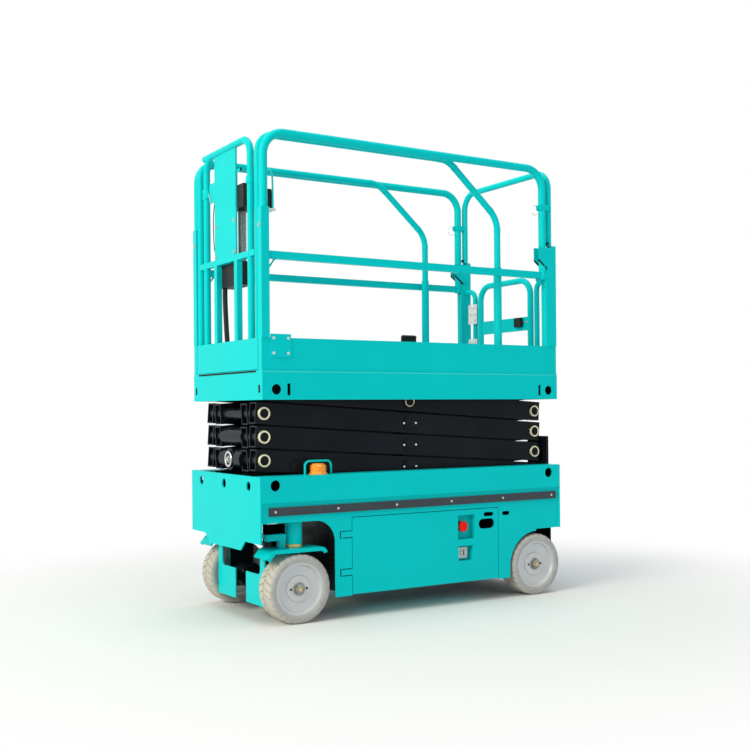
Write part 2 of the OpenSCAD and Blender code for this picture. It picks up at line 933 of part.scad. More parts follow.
// Quarter bend of a tube in the YZ plane, from along Y round to along -Z
module bend_yz(x, y, z, bend, r, towards) {
    translate([x, y, z])
        rotate([90, 0, 90])
            rotate([0, 0, towards > 0 ? 0 : 90])
                rotate_extrude(angle = 90)
                    translate([bend, 0])
                        circle(r = r);
}

// Side guard rail: one bent tube in a front sleeve and a rear cheek plate, a mid rail and a bracket
module side_rail() {
    mid_h = 17;
    mid_t = 12;
    post(rail_front, rail_y, rail_r, toe_top, rail_z - rail_bend);
    post(rail_rear, rail_y, rail_r, mid_rail_z - 20, rail_z - rail_bend);
    bar_x(rail_y, rail_z, rail_r, rail_rear + rail_bend, rail_front - rail_bend);
    bend_xz(rail_front - rail_bend, rail_y, rail_z - rail_bend, rail_bend, rail_r, 1);
    bend_xz(rail_rear + rail_bend, rail_y, rail_z - rail_bend, rail_bend, rail_r, -1);
    block([rail_rear - 12, rail_y - mid_t, mid_rail_z - mid_h],
        [rail_front, rail_y + mid_t, mid_rail_z + mid_h]);
    // Sleeve round the front tube, down behind the toe board
    block([rail_front - rail_r, rail_in, toe_top], [half_p, half_w, sleeve_top]);
    block([rail_front - rail_r, rail_in, deck_top], [half_p, toe_in, toe_top + 1]);
    // Cheek plate at the rear, with the slanted notch of the fold
    side_plate(rail_in, half_w)
        polygon([[-half_p, toe_top], [rail_rear - 8, toe_top], [rail_rear - 8, notch_z - 60],
            [rail_rear - 46, notch_z], [rail_rear - 46, cheek_top], [-half_p, cheek_top]]);
    block([-half_p, rail_in, deck_top], [rail_rear - 8, toe_in, toe_top + 1]);
    block([half_p - 140, toe_out, toe_top - 85], [half_p - 42, toe_out + 4, toe_top + 16]);
}

module side_rail_left() {
    color(teal)
        side_rail();
}

module side_rail_right() {
    color(teal)
        mirror([0, 1, 0])
            side_rail();
}

back_r = 16;
back_x = 28 - half_p;
back_y = half_w - 25;
gate_hinge_y = 118 - half_w;
gate_post_r = 14;
gate_top = mid_rail_z - 18;
gate_plate_z = toe_top + 94;
gate_hinges = [toe_top, toe_top + 190];

// Rear guard rail: an inverted U on the cheek plates, and a bent post at each side of the gate
module rear_rails() {
    bend = 90;
    hook_bend = 46;
    color(teal) {
        both_sides() {
            post(back_x, back_y, back_r, cheek_top, rail_z - bend);
            bend_yz(back_x, back_y - bend, rail_z - bend, bend, back_r, 1);
            bar_y(back_x, gate_top, gate_post_r, -gate_hinge_y + hook_bend, rail_in);
            bend_yz(back_x, -gate_hinge_y + hook_bend, gate_top - hook_bend, hook_bend, gate_post_r, -1);
            post(back_x, -gate_hinge_y, gate_post_r, deck_top, gate_top - hook_bend);
        }
        bar_y(back_x, rail_z, back_r, bend - back_y, back_y - bend);
    }
}

// Half-height entrance gate on the right hand post
module gate() {
    r = 16;
    y0 = gate_hinge_y + 50;
    y1 = -gate_hinge_y - 50;
    top = mid_rail_z;
    bottom = toe_top - 70;
    bend = 80;
    color(teal) {
        difference() {
            for (z = gate_hinges) {
                post(back_x, gate_hinge_y, gate_post_r + 7, z, z + 40);
                block([back_x - 6, gate_hinge_y + 12, z], [back_x + 6, y0, z + 40]);
            }
            post(back_x, gate_hinge_y, gate_post_r + pin_gap, deck_top, gate_top);
        }
        for (y = [y0, y1])
            post(back_x, y, r, bottom, top - bend);
        bar_y(back_x, top, r, y0 + bend, y1 - bend);
        bar_y(back_x, bottom, r, y0, y1);
        bend_yz(back_x, y1 - bend, top - bend, bend, r, 1);
        bend_yz(back_x, y0 + bend, top - bend, bend, r, -1);
        block([back_x - 5, y0, gate_plate_z], [back_x + 5, y1, gate_plate_z + 71]);
    }
}

// Extension deck

ext_y = half_w - 62;
ext_r = 16;
ext_half = ext_y + 19;
ext_deck_bottom = deck_top + slide_gap;
ext_deck_top = ext_deck_bottom + 12;
ext_rear = 328 - half_p;
ext_front = half_p - ext_r;
ext_z = rail_z - 3;
board_x = half_p - skirt_t;

module extension_deck() {
    color(teal) {
        block([ext_rear - 20, -ext_half, ext_deck_bottom + 6], [board_x, ext_half, ext_deck_top]);
        both_sides()
            block([ext_rear - 20, ext_y - 60, ext_deck_bottom],
                [board_x - 20, ext_y - 20, ext_deck_bottom + 7]);
        block([board_x, -ext_half, ext_deck_bottom + 2], [half_p, ext_half, toe_top]);
    }
}

// Post behind the front toe board, cut flat where it meets the board
module front_post(y, r, top) {
    difference() {
        post(ext_front, y, r, ext_deck_top, top);
        block([board_x, y - 2 * r, ext_deck_top - 1], [half_p + r, y + 2 * r, toe_top]);
    }
}

// Rails at the sides of the extension: front post, top tube, slanted end and rear post in its sleeve
module extension_rails() {
    slant = 41;
    bend = 130;
    front_bend = 80;
    drop = 260;
    top_x = ext_rear + drop / tan(slant);
    t1 = bend * tan(slant / 2);
    t2 = bend * tan((90 - slant) / 2);
    corner_z = ext_z - drop;
    weld_r = ext_r + 1;
    collar = 8;
    along = [cos(slant), 0, sin(slant)];
    upper = [top_x, ext_y, ext_z] - t1 * along;
    lower = [ext_rear, ext_y, corner_z] + t2 * along;
    color(teal)
        both_sides() {
            front_post(ext_y, ext_r, ext_z - front_bend);
            bend_xz(ext_front - front_bend, ext_y, ext_z - front_bend, front_bend, ext_r, 1);
            bar_x(ext_y, ext_z, ext_r, top_x + t1, ext_front - front_bend);
            arc_xz(top_x + t1, ext_y, ext_z - bend, bend, ext_r, 90, 90 + slant);
            strut(upper, lower, ext_r);
            arc_xz(ext_rear + bend, ext_y, corner_z - t2, bend, ext_r, 90 + slant, 180);
            // Weld collars where the bends meet the straight tubes
            strut(upper - collar * along, upper + collar * along, weld_r);
            strut(lower - collar * along, lower + collar * along, weld_r);
            bar_x(ext_y, ext_z, weld_r, top_x + t1 - collar, top_x + t1 + collar);
            post(ext_rear, ext_y, weld_r, corner_z - t2 - collar, corner_z - t2 + collar);
            post(ext_rear, ext_y, ext_r, ext_deck_top, corner_z - t2);
            post(ext_rear, ext_y, rail_r + 1, ext_deck_top, mid_rail_z + 30);
        }
}

frame_mid_z = mid_rail_z + 17;
picket_y = [-118, 106];
picket_w = 32;

// Front guard frame of the extension with its pickets and panel
module front_frame() {
    frame_y = ext_y - 75;
    bend = 75;
    bar_t = 26;
    panel_y = [-144, 93];
    x0 = ext_front - bar_t / 2;
    color(teal) {
        both_sides() {
            front_post(frame_y, ext_r, ext_z - bend);
            bend_yz(ext_front, frame_y - bend, ext_z - bend, bend, ext_r, 1);
        }
        bar_y(ext_front, ext_z, ext_r, bend - frame_y, frame_y - bend);
        block([x0, -ext_y + ext_r, frame_mid_z - bar_t / 2],
            [x0 + bar_t, ext_y - ext_r, frame_mid_z + bar_t / 2]);
        for (y = picket_y)
            difference() {
                block([x0, y - picket_w / 2, ext_deck_top], [x0 + bar_t, y + picket_w / 2, frame_mid_z]);
                block([board_x, y - picket_w, ext_deck_top - 1], [half_p, y + picket_w, toe_top]);
            }
        block([ext_front - 4, panel_y[0], frame_mid_z], [ext_front + 4, panel_y[1], ext_z]);
        block([ext_front - 4, panel_y[0] - 60, ext_z - 220], [ext_front + 4, panel_y[0] + 1, ext_z - 130]);
    }
}

box_x = [ext_front - 124, ext_front - 4];
box_z = [ext_z - 290, ext_z - 186];

// Control box behind the front panel, with a sloped top
module control_box() {
    color(matte_black)
        side_plate(10, 160)
            polygon([[box_x[0], box_z[0]], [box_x[1], box_z[0]], [box_x[1], box_z[1]],
                [box_x[0] + 30, box_z[1]], [box_x[0], box_z[1] - 40]]);
}

// Box for papers behind the pickets, hung under the middle bar
module manual_box() {
    color(matte_black)
        block([ext_front - 83, picket_y[0], frame_mid_z - 119],
            [ext_front - 13, picket_y[1], frame_mid_z - 13]);
}

// Cable from the control box down to the paper box
module cable() {
    color(matte_black)
        post(ext_front - 48, 50, 20, frame_mid_z - 13, box_z[0]);
}

module tyre_front_left() {
    tyre_at(front_axle_x, wheel_y);
}

module rim_front_left() {
    rim_at(front_axle_x, wheel_y, 1);
}

module tyre_front_right() {
    tyre_at(front_axle_x, -wheel_y);
}

module rim_front_right() {
    rim_at(front_axle_x, -wheel_y, -1);
}

module tyre_rear_left() {
    tyre_at(-rear_axle_x, wheel_y);
}

module rim_rear_left() {
    rim_at(-rear_axle_x, wheel_y, 1);
}

module tyre_rear_right() {
    tyre_at(-rear_axle_x, -wheel_y);
}

module rim_rear_right() {
    rim_at(-rear_axle_x, -wheel_y, -1);
}

chassis_frame();
lower_side_left();
lower_side_right();
inner_frame();
front_axle();
scissor_base();
rub_strips();
beacon();
beacon_guard();
rear_axle();
knuckle_left();
knuckle_right();
tie_rod();
tyre_front_left();
tyre_front_right();
tyre_rear_left();
tyre_rear_right();
rim_front_left();
rim_front_right();
rim_rear_left();
rim_rear_right();
door_left();
door_right();
battery_left();
battery_right();
ground_controls();
outer_arms_1();
outer_arms_2();
outer_arms_3();
outer_arms_4();
inner_arms_1();
inner_arms_2();
inner_arms_3();
inner_arms_4();
lift_barrel();
lift_rod();
platform_deck();
side_rail_left();
side_rail_right();
rear_rails();
gate();
extension_deck();
extension_rails();
front_frame();
control_box();
manual_box();
cable();
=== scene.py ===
"""Dresses a stowed scissor lift: paint, tyres, pins, controls, cables and a plain studio."""

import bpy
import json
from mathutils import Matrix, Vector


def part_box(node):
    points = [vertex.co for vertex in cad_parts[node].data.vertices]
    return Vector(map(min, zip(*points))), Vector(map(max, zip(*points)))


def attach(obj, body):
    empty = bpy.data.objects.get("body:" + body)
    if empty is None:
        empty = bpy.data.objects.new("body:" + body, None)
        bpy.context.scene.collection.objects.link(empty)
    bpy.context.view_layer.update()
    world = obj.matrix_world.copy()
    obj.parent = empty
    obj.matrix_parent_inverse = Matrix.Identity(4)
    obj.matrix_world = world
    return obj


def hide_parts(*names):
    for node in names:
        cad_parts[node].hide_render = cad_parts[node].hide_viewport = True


bl_info = {
    "name": "Scissor lift dresser",
    "version": (1, 0, 0),
    "blender": (4, 5, 0),
    "location": "View3D > Sidebar > Lift",
    "description": "Adds finishes and fittings to the scissor lift and sets up its studio",
    "category": "Object",
}

import json
import math

import bmesh
import bpy
from mathutils import Matrix, Vector

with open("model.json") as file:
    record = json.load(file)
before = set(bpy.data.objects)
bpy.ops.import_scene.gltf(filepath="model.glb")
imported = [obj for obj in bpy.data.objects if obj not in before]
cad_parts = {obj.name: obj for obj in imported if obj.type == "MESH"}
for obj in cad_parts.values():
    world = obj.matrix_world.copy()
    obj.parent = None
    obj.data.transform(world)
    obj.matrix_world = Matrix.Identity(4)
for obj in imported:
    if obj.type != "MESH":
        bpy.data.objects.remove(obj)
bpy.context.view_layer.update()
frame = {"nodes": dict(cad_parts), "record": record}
NODES = frame["nodes"]
JOINTS = {joint["name"]: joint for joint in frame["record"]["behaviour"]["joints"]}
SIDES = {"left": 1, "right": -1}
WHEELS = ("front_left", "front_right", "rear_left", "rear_right")
STAGES = (1, 2, 3, 4)


def span(node):
    """Lowest and highest corner of a node as vectors, in metres."""
    low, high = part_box(node)
    return Vector(low), Vector(high)


def middle(node):
    """Middle of a node's box."""
    low, high = span(node)
    return (low + high) / 2


def strip(side, inner, outer):
    """Lowest and highest y of a strip on one side of the machine."""
    return sorted((side * inner, side * outer))


# Settings

NUMBER, COUNT = bpy.props.FloatProperty, bpy.props.IntProperty
NUMBERS = bpy.props.FloatVectorProperty


def setting(kind, name, description, default, **limits):
    """A value that can be changed in the panel."""
    return kind(name=name, description=description, default=default, **limits)


def colour_setting(name, description, default):
    """A colour that can be changed in the panel."""
    return setting(NUMBERS, name, description, default, subtype="COLOR", size=3, min=0, max=1)


class LiftColours(bpy.types.PropertyGroup):
    """Colours of the finishes."""
    teal: colour_setting("Teal paint", "Colour of the frame and rails", (0.0, 0.58, 0.6))
    # The black paint colour is also the painted shade inside the frame, axle, knuckles and deck
    black: colour_setting("Black paint", "Colour of the arms", (0.005, 0.008, 0.012))
    cream: colour_setting("Pin rings", "Colour of the plated pin rings", (0.78, 0.72, 0.5))
    tyre: colour_setting("Tyre rubber", "Colour of the non-marking tyres", (0.5, 0.46, 0.41))
    rim: colour_setting("Rim paint", "Colour of the wheel rims", (0.58, 0.59, 0.61))
    strip: colour_setting("Rub strip", "Colour of the side rub strips", (0.028, 0.04, 0.052))
    amber: colour_setting("Beacon lens", "Colour of the beacon", (0.95, 0.33, 0.02))
    red: colour_setting("Stop button", "Colour of the stop button", (0.88, 0.012, 0.006))


class LiftDetail(bpy.types.PropertyGroup):
    """Sizes of the fittings."""
    tread_cuts: setting(COUNT, "Tread cuts", "Slanted cuts round each tyre shoulder", 30,
                        min=12, max=48)
    tread_depth: setting(NUMBER, "Tread depth", "Depth of the tread cuts", 0.004,
                         min=0.001, max=0.01, unit="LENGTH")
    rivets: setting(COUNT, "Rivets", "Rivets along each rub strip", 6, min=2, max=20)
    curl_turns: setting(COUNT, "Curls", "Turns of the curly control cable", 26, min=5, max=60)


class LiftStage(bpy.types.PropertyGroup):
    """Studio floor, light and camera."""
    floor: colour_setting("Floor", "Colour of the floor", (0.76, 0.76, 0.76))
    ambient: setting(NUMBER, "Ambient", "Strength of the even light", 0.47, min=0, max=3)
    lens: setting(NUMBER, "Lens", "Focal length of the camera in mm", 51.8, min=10, max=300)
    camera_at: setting(NUMBERS, "Camera", "Place of the camera", (2.85, 4.561, 0.934), size=3,
                       subtype="TRANSLATION", unit="LENGTH")
    shift: setting(NUMBERS, "Lens shift", "Shift of the picture across and up", (-0.0061, 0.0375),
                   size=2)
    tilt: setting(NUMBER, "Tilt", "Upward tilt of the camera", 0.0062, subtype="ANGLE")
    roll: setting(NUMBER, "Roll", "Roll of the camera", -0.0081, subtype="ANGLE")


# Finishes

FINISHES = {}
SHADER = "Principled BSDF"
COAT_ROUGHNESS = 0.08
NOISE_ROUGHNESS = 0.55
NOISE_BAND = (0.3, 0.7)

# The same paint for several solids: each value is half the box inside which the faces get painted
# shade in the black paint colour, where the inside of the frame lies in shade
TEAL_FINISHES = {
    "teal_paint": None,
    "chassis_paint": (0.836, 0.366, 0.64),
    "axle_paint": (0.836, 0.27, 0.64),
    "knuckle_paint": (0.75, 0.235, 0.35),
    "deck_paint": (0.822, 0.3745, 1.09),
}


def add_node(tree, kind, values=None, operation=None):
    """A new shader node with plain values on its sockets."""
    node = tree.nodes.new(f"ShaderNode{kind}")
    if operation:
        node.operation = operation
    for entry, value in (values or {}).items():
        node.inputs[entry].default_value = value
    return node


def node_link(tree, source, output, target, entry):
    """Joins two shader nodes."""
    tree.links.new(source.outputs[output], target.inputs[entry])


def object_noise(tree, scale, detail):
    """Noise in the object's own coordinates, so that it stays on the piece."""
    noise = add_node(tree, "TexNoise", {"Scale": scale, "Detail": detail,
                                        "Roughness": NOISE_ROUGHNESS})
    node_link(tree, add_node(tree, "TexCoord"), "Object", noise, "Vector")
    return noise


def vary_colour(tree, colour, spread, scale):
    """Lets the colour drift a little between a darker and a lighter tone."""
    ramp = add_node(tree, "ValToRGB")
    gains = (1 - spread, 1 + spread)
    for element, position, gain in zip(ramp.color_ramp.elements, NOISE_BAND, gains):
        element.position = position
        element.color = (*(min(1, c * gain) for c in colour), 1)
    node_link(tree, object_noise(tree, scale, 4), "Fac", ramp, "Fac")
    node_link(tree, ramp, "Color", tree.nodes[SHADER], "Base Color")


def vary_roughness(tree, low, high, scale):
    """Lets the gloss drift between two values."""
    entries = ("From Min", "From Max", "To Min", "To Max")
    band = add_node(tree, "MapRange", dict(zip(entries, (*NOISE_BAND, low, high))))
    node_link(tree, object_noise(tree, scale, 3), "Fac", band, "Value")
    node_link(tree, band, "Result", tree.nodes[SHADER], "Roughness")


def add_bump(tree, scale, strength, distance, detail=2):
    """Fine surface relief."""
    bump = add_node(tree, "Bump", {"Strength": strength, "Distance": distance})
    node_link(tree, object_noise(tree, scale, detail), "Fac", bump, "Height")
    node_link(tree, bump, "Normal", tree.nodes[SHADER], "Normal")


def paint_inner_shade(tree, reach, colour):
    """Paints shade, in the black paint colour, on the faces inside a box round the middle of the
    machine, where the inside of the frame, axle, knuckles and deck lies in shade.
    """
    base = tree.nodes[SHADER].inputs["Base Color"]
    split = add_node(tree, "SeparateXYZ")
    node_link(tree, add_node(tree, "TexCoord"), "Object", split, "Vector")
    inside = None
    for axis, limit in zip("XYZ", reach):
        size = add_node(tree, "Math", operation="ABSOLUTE")
        node_link(tree, split, axis, size, 0)
        below = add_node(tree, "Math", {1: limit}, "LESS_THAN")
        node_link(tree, size, "Value", below, 0)
        if inside is None:
            inside = below
            continue
        both = add_node(tree, "Math", operation="MULTIPLY")
        node_link(tree, inside, "Value", both, 0)
        node_link(tree, below, "Value", both, 1)
        inside = both
    # Painted shade: the black paint colour takes over on the faces inside the box
    mix = add_node(tree, "MixRGB", {"Color2": (*colour, 1)})
    node_link(tree, inside, "Value", mix, "Fac")
    tree.links.new(base.links[0].from_socket, mix.inputs["Color1"])
    tree.links.new(mix.outputs["Color"], base)


def make_finish(name, colour, roughness, drift=None, gloss=None, relief=None,
                metallic=0.0, coat=0.0, specular=0.4):
    """Finish with drift (spread, scale), gloss (low, high, scale) and relief as in add_bump."""
    finish = bpy.data.materials.new(name)
    finish.use_nodes = True
    tree = finish.node_tree
    values = {"Base Color": (*colour, 1), "Roughness": roughness, "Metallic": metallic,
              "Specular IOR Level": specular, "Coat Weight": coat,
              "Coat Roughness": COAT_ROUGHNESS}
    for entry, value in values.items():
        tree.nodes[SHADER].inputs[entry].default_value = value
    if drift:
        vary_colour(tree, colour, *drift)
    if gloss:
        vary_roughness(tree, *gloss)
    if relief:
        add_bump(tree, *relief)
    FINISHES[name] = finish
    return finish


def make_finishes(colours):
    """Every finish of the lift, by name."""
    for name, reach in TEAL_FINISHES.items():
        teal = make_finish(name, colours.teal, 0.32, (0.025, 3.0), relief=(420.0, 0.06, 0.0006),
                           specular=0.06)
        # The faces inside this box get painted shade in the black paint colour
        if reach:
            paint_inner_shade(teal.node_tree, reach, colours.black)
    make_finish("black_paint", colours.black, 0.22, (0.25, 6.0), (0.16, 0.3, 9.0),
                (380.0, 0.08, 0.0008), specular=0.1)
    make_finish("plated_ring", colours.cream, 0.38, (0.1, 40.0), metallic=0.35)
    make_finish("bright_steel", (0.62, 0.62, 0.61), 0.28, gloss=(0.2, 0.4, 60.0), metallic=1.0)
    make_finish("tyre_rubber", colours.tyre, 0.82, (0.09, 28.0), relief=(300.0, 0.25, 0.001, 5))
    make_finish("rim_paint", colours.rim, 0.38, (0.04, 12.0), relief=(500.0, 0.05, 0.0005),
                metallic=0.25)
    make_finish("strip_rubber", colours.strip, 0.55, (0.15, 30.0), relief=(700.0, 0.15, 0.0006, 4))
    make_finish("amber_lens", colours.amber, 0.18, (0.08, 20.0), coat=0.6)
    make_finish("red_plastic", colours.red, 0.35, (0.05, 30.0), specular=0.12)
    make_finish("black_plastic", (0.018, 0.018, 0.019), 0.5, (0.2, 20.0),
                relief=(900.0, 0.2, 0.0004, 3), specular=0.15)
    # Near-black painted shade for holes, slots, gaps and the hollow under the rail sockets
    make_finish("dark_recess", (0.008, 0.008, 0.009), 0.7, (0.3, 20.0), specular=0.15)
    make_finish("grey_cable", (0.42, 0.41, 0.41), 0.5, (0.15, 60.0))
    make_finish("brass_ring", (0.7, 0.5, 0.16), 0.35, (0.1, 30.0), metallic=0.6)
    make_finish("switch_plate", (0.55, 0.58, 0.56), 0.45, (0.1, 50.0), metallic=0.3)
    make_finish("tyre_wall", (0.45, 0.44, 0.43), 0.78, (0.1, 26.0), relief=(260.0, 0.2, 0.001, 5))
    make_finish("nut_steel", (0.3, 0.29, 0.27), 0.34, (0.3, 70.0), metallic=0.8)
    make_finish("zinc_plate", (0.72, 0.71, 0.7), 0.36, (0.09, 45.0), (0.28, 0.46, 70.0),
                metallic=0.75)
    # Lighter teal for the painted highlight where the ledge of the side plates catches the light
    make_finish("pale_edge", (0.1, 0.7, 0.7), 0.35, (0.05, 12.0), specular=0.1)
    make_finish("white_plastic", (0.8, 0.8, 0.78), 0.4, (0.04, 30.0))


# Mesh helpers

def loft(mesh, rings, slot=0, closed=False):
    """Skin over rings of vertices, with flat ends unless the last ring meets the first."""
    pairs = list(zip(rings, rings[1:]))
    if closed:
        pairs.append((rings[-1], rings[0]))
    count = len(rings[0])
    for near, far in pairs:
        for i in range(count):
            j = (i + 1) % count
            mesh.faces.new((near[i], near[j], far[j], far[i])).material_index = slot
    if not closed:
        for ring in (rings[0][::-1], rings[-1]):
            mesh.faces.new(ring).material_index = slot


def circle(mesh, centre, across, other, radius, sides):
    """Ring of vertices round a centre, in the plane of two directions."""
    turns = [2 * math.pi * i / sides for i in range(sides)]
    return [mesh.verts.new(centre + (across * math.cos(turn) + other * math.sin(turn)) * radius)
            for turn in turns]


def pin(mesh, start, end, radius, sides=24, slot=0):
    """Closed round bar between two points."""
    start, end = Vector(start), Vector(end)
    along = end - start
    turn = along.to_track_quat("Z", "Y").to_matrix().to_4x4()
    place = Matrix.Translation((start + end) / 2) @ turn
    made = bmesh.ops.create_cone(mesh, cap_ends=True, segments=sides, radius1=radius,
                                 radius2=radius, depth=along.length, matrix=place)
    for face in {face for vert in made["verts"] for face in vert.link_faces}:
        face.material_index = slot


def slab(mesh, low, high, slot=0, bevel=0.0):
    """Box between two corners, with softened edges."""
    low, high = Vector(low), Vector(high)
    place = Matrix.Translation((low + high) / 2) @ Matrix.Diagonal((*(high - low), 1))
    made = bmesh.ops.create_cube(mesh, size=1, matrix=place)
    faces = {face for vert in made["verts"] for face in vert.link_faces}
    for face in faces:
        face.material_index = slot
    if bevel:
        edges = {edge for face in faces for edge in face.edges}
        out = bmesh.ops.bevel(mesh, geom=list(edges), offset=bevel, segments=2, affect="EDGES")
        for face in out["faces"]:
            face.material_index = slot


def turned(mesh, centre, axis, profile, sides=48, slot=0, closed=False):
    """Turned form: profile is a list of (radius, distance along the axis)."""
    centre, axis = Vector(centre), Vector(axis).normalized()
    across = axis.orthogonal().normalized()
    other = axis.cross(across)
    loft(mesh, [circle(mesh, centre + axis * along, across, other, radius, sides)
                for radius, along in profile], slot, closed)


def hose(mesh, points, radius, sides=10, slot=0):
    """Round wire along a list of points."""
    points = [Vector(p) for p in points]
    normal = None
    rings = []
    for i, point in enumerate(points):
        ahead = points[min(i + 1, len(points) - 1)] - points[max(i - 1, 0)]
        ahead.normalize()
        if normal is None:
            normal = ahead.orthogonal().normalized()
        normal = (normal - ahead * normal.dot(ahead)).normalized()
        rings.append(circle(mesh, point, normal, ahead.cross(normal), radius, sides))
    loft(mesh, rings, slot)


def side_sheet(mesh, outline, start, end, slot=0):
    """Flat plate with an outline in x and z, between two distances across the machine."""
    loft(mesh, [[mesh.verts.new((x, y, z)) for x, z in outline] for y in (start, end)], slot)


def smooth_route(points, steps=8):
    """Points along a smooth curve through the given ones."""
    points = [Vector(p) for p in points]
    route = []
    for i in range(len(points) - 1):
        before = points[max(i - 1, 0)]
        start, end = points[i], points[i + 1]
        after = points[min(i + 2, len(points) - 1)]
        for k in range(steps):
            t = k / steps
            route.append(0.5 * (2 * start + (end - before) * t
                         + (2 * before - 5 * start + 4 * end - after) * t ** 2
                         + (3 * start - before - 3 * end + after) * t ** 3))
    route.append(points[-1])
    return route


def bolt(mesh, at, axis, radius, height, slot=0):
    """Hexagon bolt head on its washer."""
    at, axis = Vector(at), Vector(axis).normalized()
    washer_width, washer_height, head_foot = 1.35 * radius, 0.3 * height, 0.25 * height
    pin(mesh, at, at + axis * washer_height, washer_width, 20, slot)
    pin(mesh, at + axis * head_foot, at + axis * height, radius, 6, slot)


SHARP_ANGLE = math.radians(35)


def add_piece(name, mesh, finishes, body):
    """Piece that moves with a body."""
    bmesh.ops.recalc_face_normals(mesh, faces=mesh.faces[:])
    data = bpy.data.meshes.new(name)
    mesh.to_mesh(data)
    mesh.free()
    for finish in finishes:
        data.materials.append(FINISHES[finish])
    data.polygons.foreach_set("use_smooth", [True] * len(data.polygons))
    data.set_sharp_from_angle(angle=SHARP_ANGLE)
    piece = bpy.data.objects.new(name, data)
    bpy.context.scene.collection.objects.link(piece)
    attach(piece, body)
    return piece


# Paint for the solids

NODE_FINISH = {
    # Teal finishes with painted shade on the faces inside their box, see TEAL_FINISHES
    "chassis_paint": ["chassis_frame", "lower_side_left", "lower_side_right"],
    "axle_paint": ["front_axle"],
    "knuckle_paint": ["knuckle_left", "knuckle_right"],
    "deck_paint": ["platform_deck"],
    "black_paint": ["scissor_base", "inner_frame", "rear_axle", "tie_rod", "lift_barrel"]
    + [f"{kind}_arms_{k}" for kind in ("outer", "inner") for k in STAGES],
    "bright_steel": ["lift_rod"],
    "strip_rubber": ["rub_strips"],
    "amber_lens": ["beacon"],
    "red_plastic": ["ground_controls"],
    "black_plastic": ["battery_left", "battery_right", "control_box", "manual_box", "cable"],
    "rim_paint": [f"rim_{wheel}" for wheel in WHEELS],
    "tyre_rubber": [f"tyre_{wheel}" for wheel in WHEELS],
}


class LIFT_OT_paint(bpy.types.Operator):
    """Make the finishes and paint every solid"""
    bl_idname = "lift.paint"
    bl_label = "Paint solids"

    def execute(self, context):
        make_finishes(context.scene.lift_colours)
        painted = {node: finish for finish, nodes in NODE_FINISH.items() for node in nodes}
        for name, node in NODES.items():
            for slot in node.material_slots:
                slot.material = FINISHES[painted.get(name, "teal_paint")]
        return {"FINISHED"}


# Wheels: profiles are (radius, distance from the hub plate)

SHOULDER, CORNER = 0.014, 0.005
SHOULDER_DROP, CORNER_DROP = 0.004, 0.01
WALL_EDGE, WALL_STEP, BEAD_STEP, WALL_PAINT = 0.03, 0.001, 0.004, 0.0045
RIM_GAP = 0.0005
CARCASS_ROWS = (0.97, 0.9, 0.75, 0.0, -0.75, -0.9, -0.97)
TREAD_ROWS = (0.03, 0.3, 0.6, 0.76, 0.86, 0.92, 0.97, 1.0)
TREAD_SLANT = 0.13
TREAD_SHARE = 0.88
HUB_DEPTH = 0.016
HUB_WASHER = ((0.03, 0), (0.03, 0.0022), (0.028, 0.003))
HUB_CAP = ((0.0215, 0.011), (0.0215, 0.015), (0.0195, 0.01615), (0.009, 0.01625))
HUB_NUT_RADIUS, HUB_COLLAR_RADIUS, HUB_TIP_RADIUS, HUB_HOLE_RADIUS = 0.0262, 0.0225, 0.0085, 0.0055
SPLIT_PIN_RADIUS, SPLIT_PIN_END = 0.0018, (0.024, 0.005)
HUB_HOLES = (-0.039, 0.039)


def tyre_radius_at(across, half, radius):
    """Outer radius of the tyre at a distance from its middle plane."""
    if across <= half - SHOULDER:
        return radius
    if across <= half - CORNER:
        return radius - SHOULDER_DROP * (across - half + SHOULDER) / (SHOULDER - CORNER)
    return radius - SHOULDER_DROP - CORNER_DROP * (across - half + CORNER) / CORNER


def tread_block(mesh, centre, half, radius, depth, side, start, width):
    """One slanted tread block that wraps from the tyre's middle over its shoulder."""
    rings = []
    for t in TREAD_ROWS:
        across = half * t
        outer = tyre_radius_at(across, half, radius)
        first = start + TREAD_SLANT * (1 - t)
        turns = (first, first + width / 2, first + width)
        corners = [(outer, turn) for turn in turns]
        corners += [(outer - 2 * depth, turn) for turn in turns[::-1]]
        rings.append([mesh.verts.new(centre + Vector((r * math.cos(turn), side * across,
                                                      r * math.sin(turn)))) for r, turn in corners])
    loft(mesh, rings)


def tyre_size(wheel):
    """Centre, half the width and radius of a tyre."""
    low, high = span(f"tyre_{wheel}")
    return (low + high) / 2, (high.y - low.y) / 2, (high.x - low.x) / 2


def treaded_tyre(wheel, detail):
    """Tyre with slanted tread blocks on both shoulders."""
    centre, half, radius = tyre_size(wheel)
    rim_low, rim_high = span(f"rim_{wheel}")
    inner = (rim_high.x - rim_low.x) / 2 + RIM_GAP
    depth = detail.tread_depth
    bead, wall = half - BEAD_STEP, half - WALL_STEP
    carcass = [(inner, -bead), (inner, bead), (radius - WALL_EDGE, wall)]
    carcass += [(tyre_radius_at(half * abs(t), half, radius) - depth, half * t)
                for t in CARCASS_ROWS]
    carcass.append((radius - WALL_EDGE, -wall))
    mesh = bmesh.new()
    turned(mesh, centre, (0, 1, 0), carcass, 96, closed=True)
    pitch = 2 * math.pi / detail.tread_cuts
    for side, offset in ((1, 0), (-1, pitch / 2)):
        for i in range(detail.tread_cuts):
            tread_block(mesh, centre, half, radius, depth, side, offset + i * pitch,
                        pitch * TREAD_SHARE)
    for face in mesh.faces:
        if abs(face.calc_center_median().y - centre.y) > half - WALL_PAINT:
            face.material_index = 1
    piece = add_piece(f"treaded_tyre_{wheel}", mesh, ["tyre_rubber", "tyre_wall"],
                      f"wheel_{wheel}")
    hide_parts(f"tyre_{wheel}")


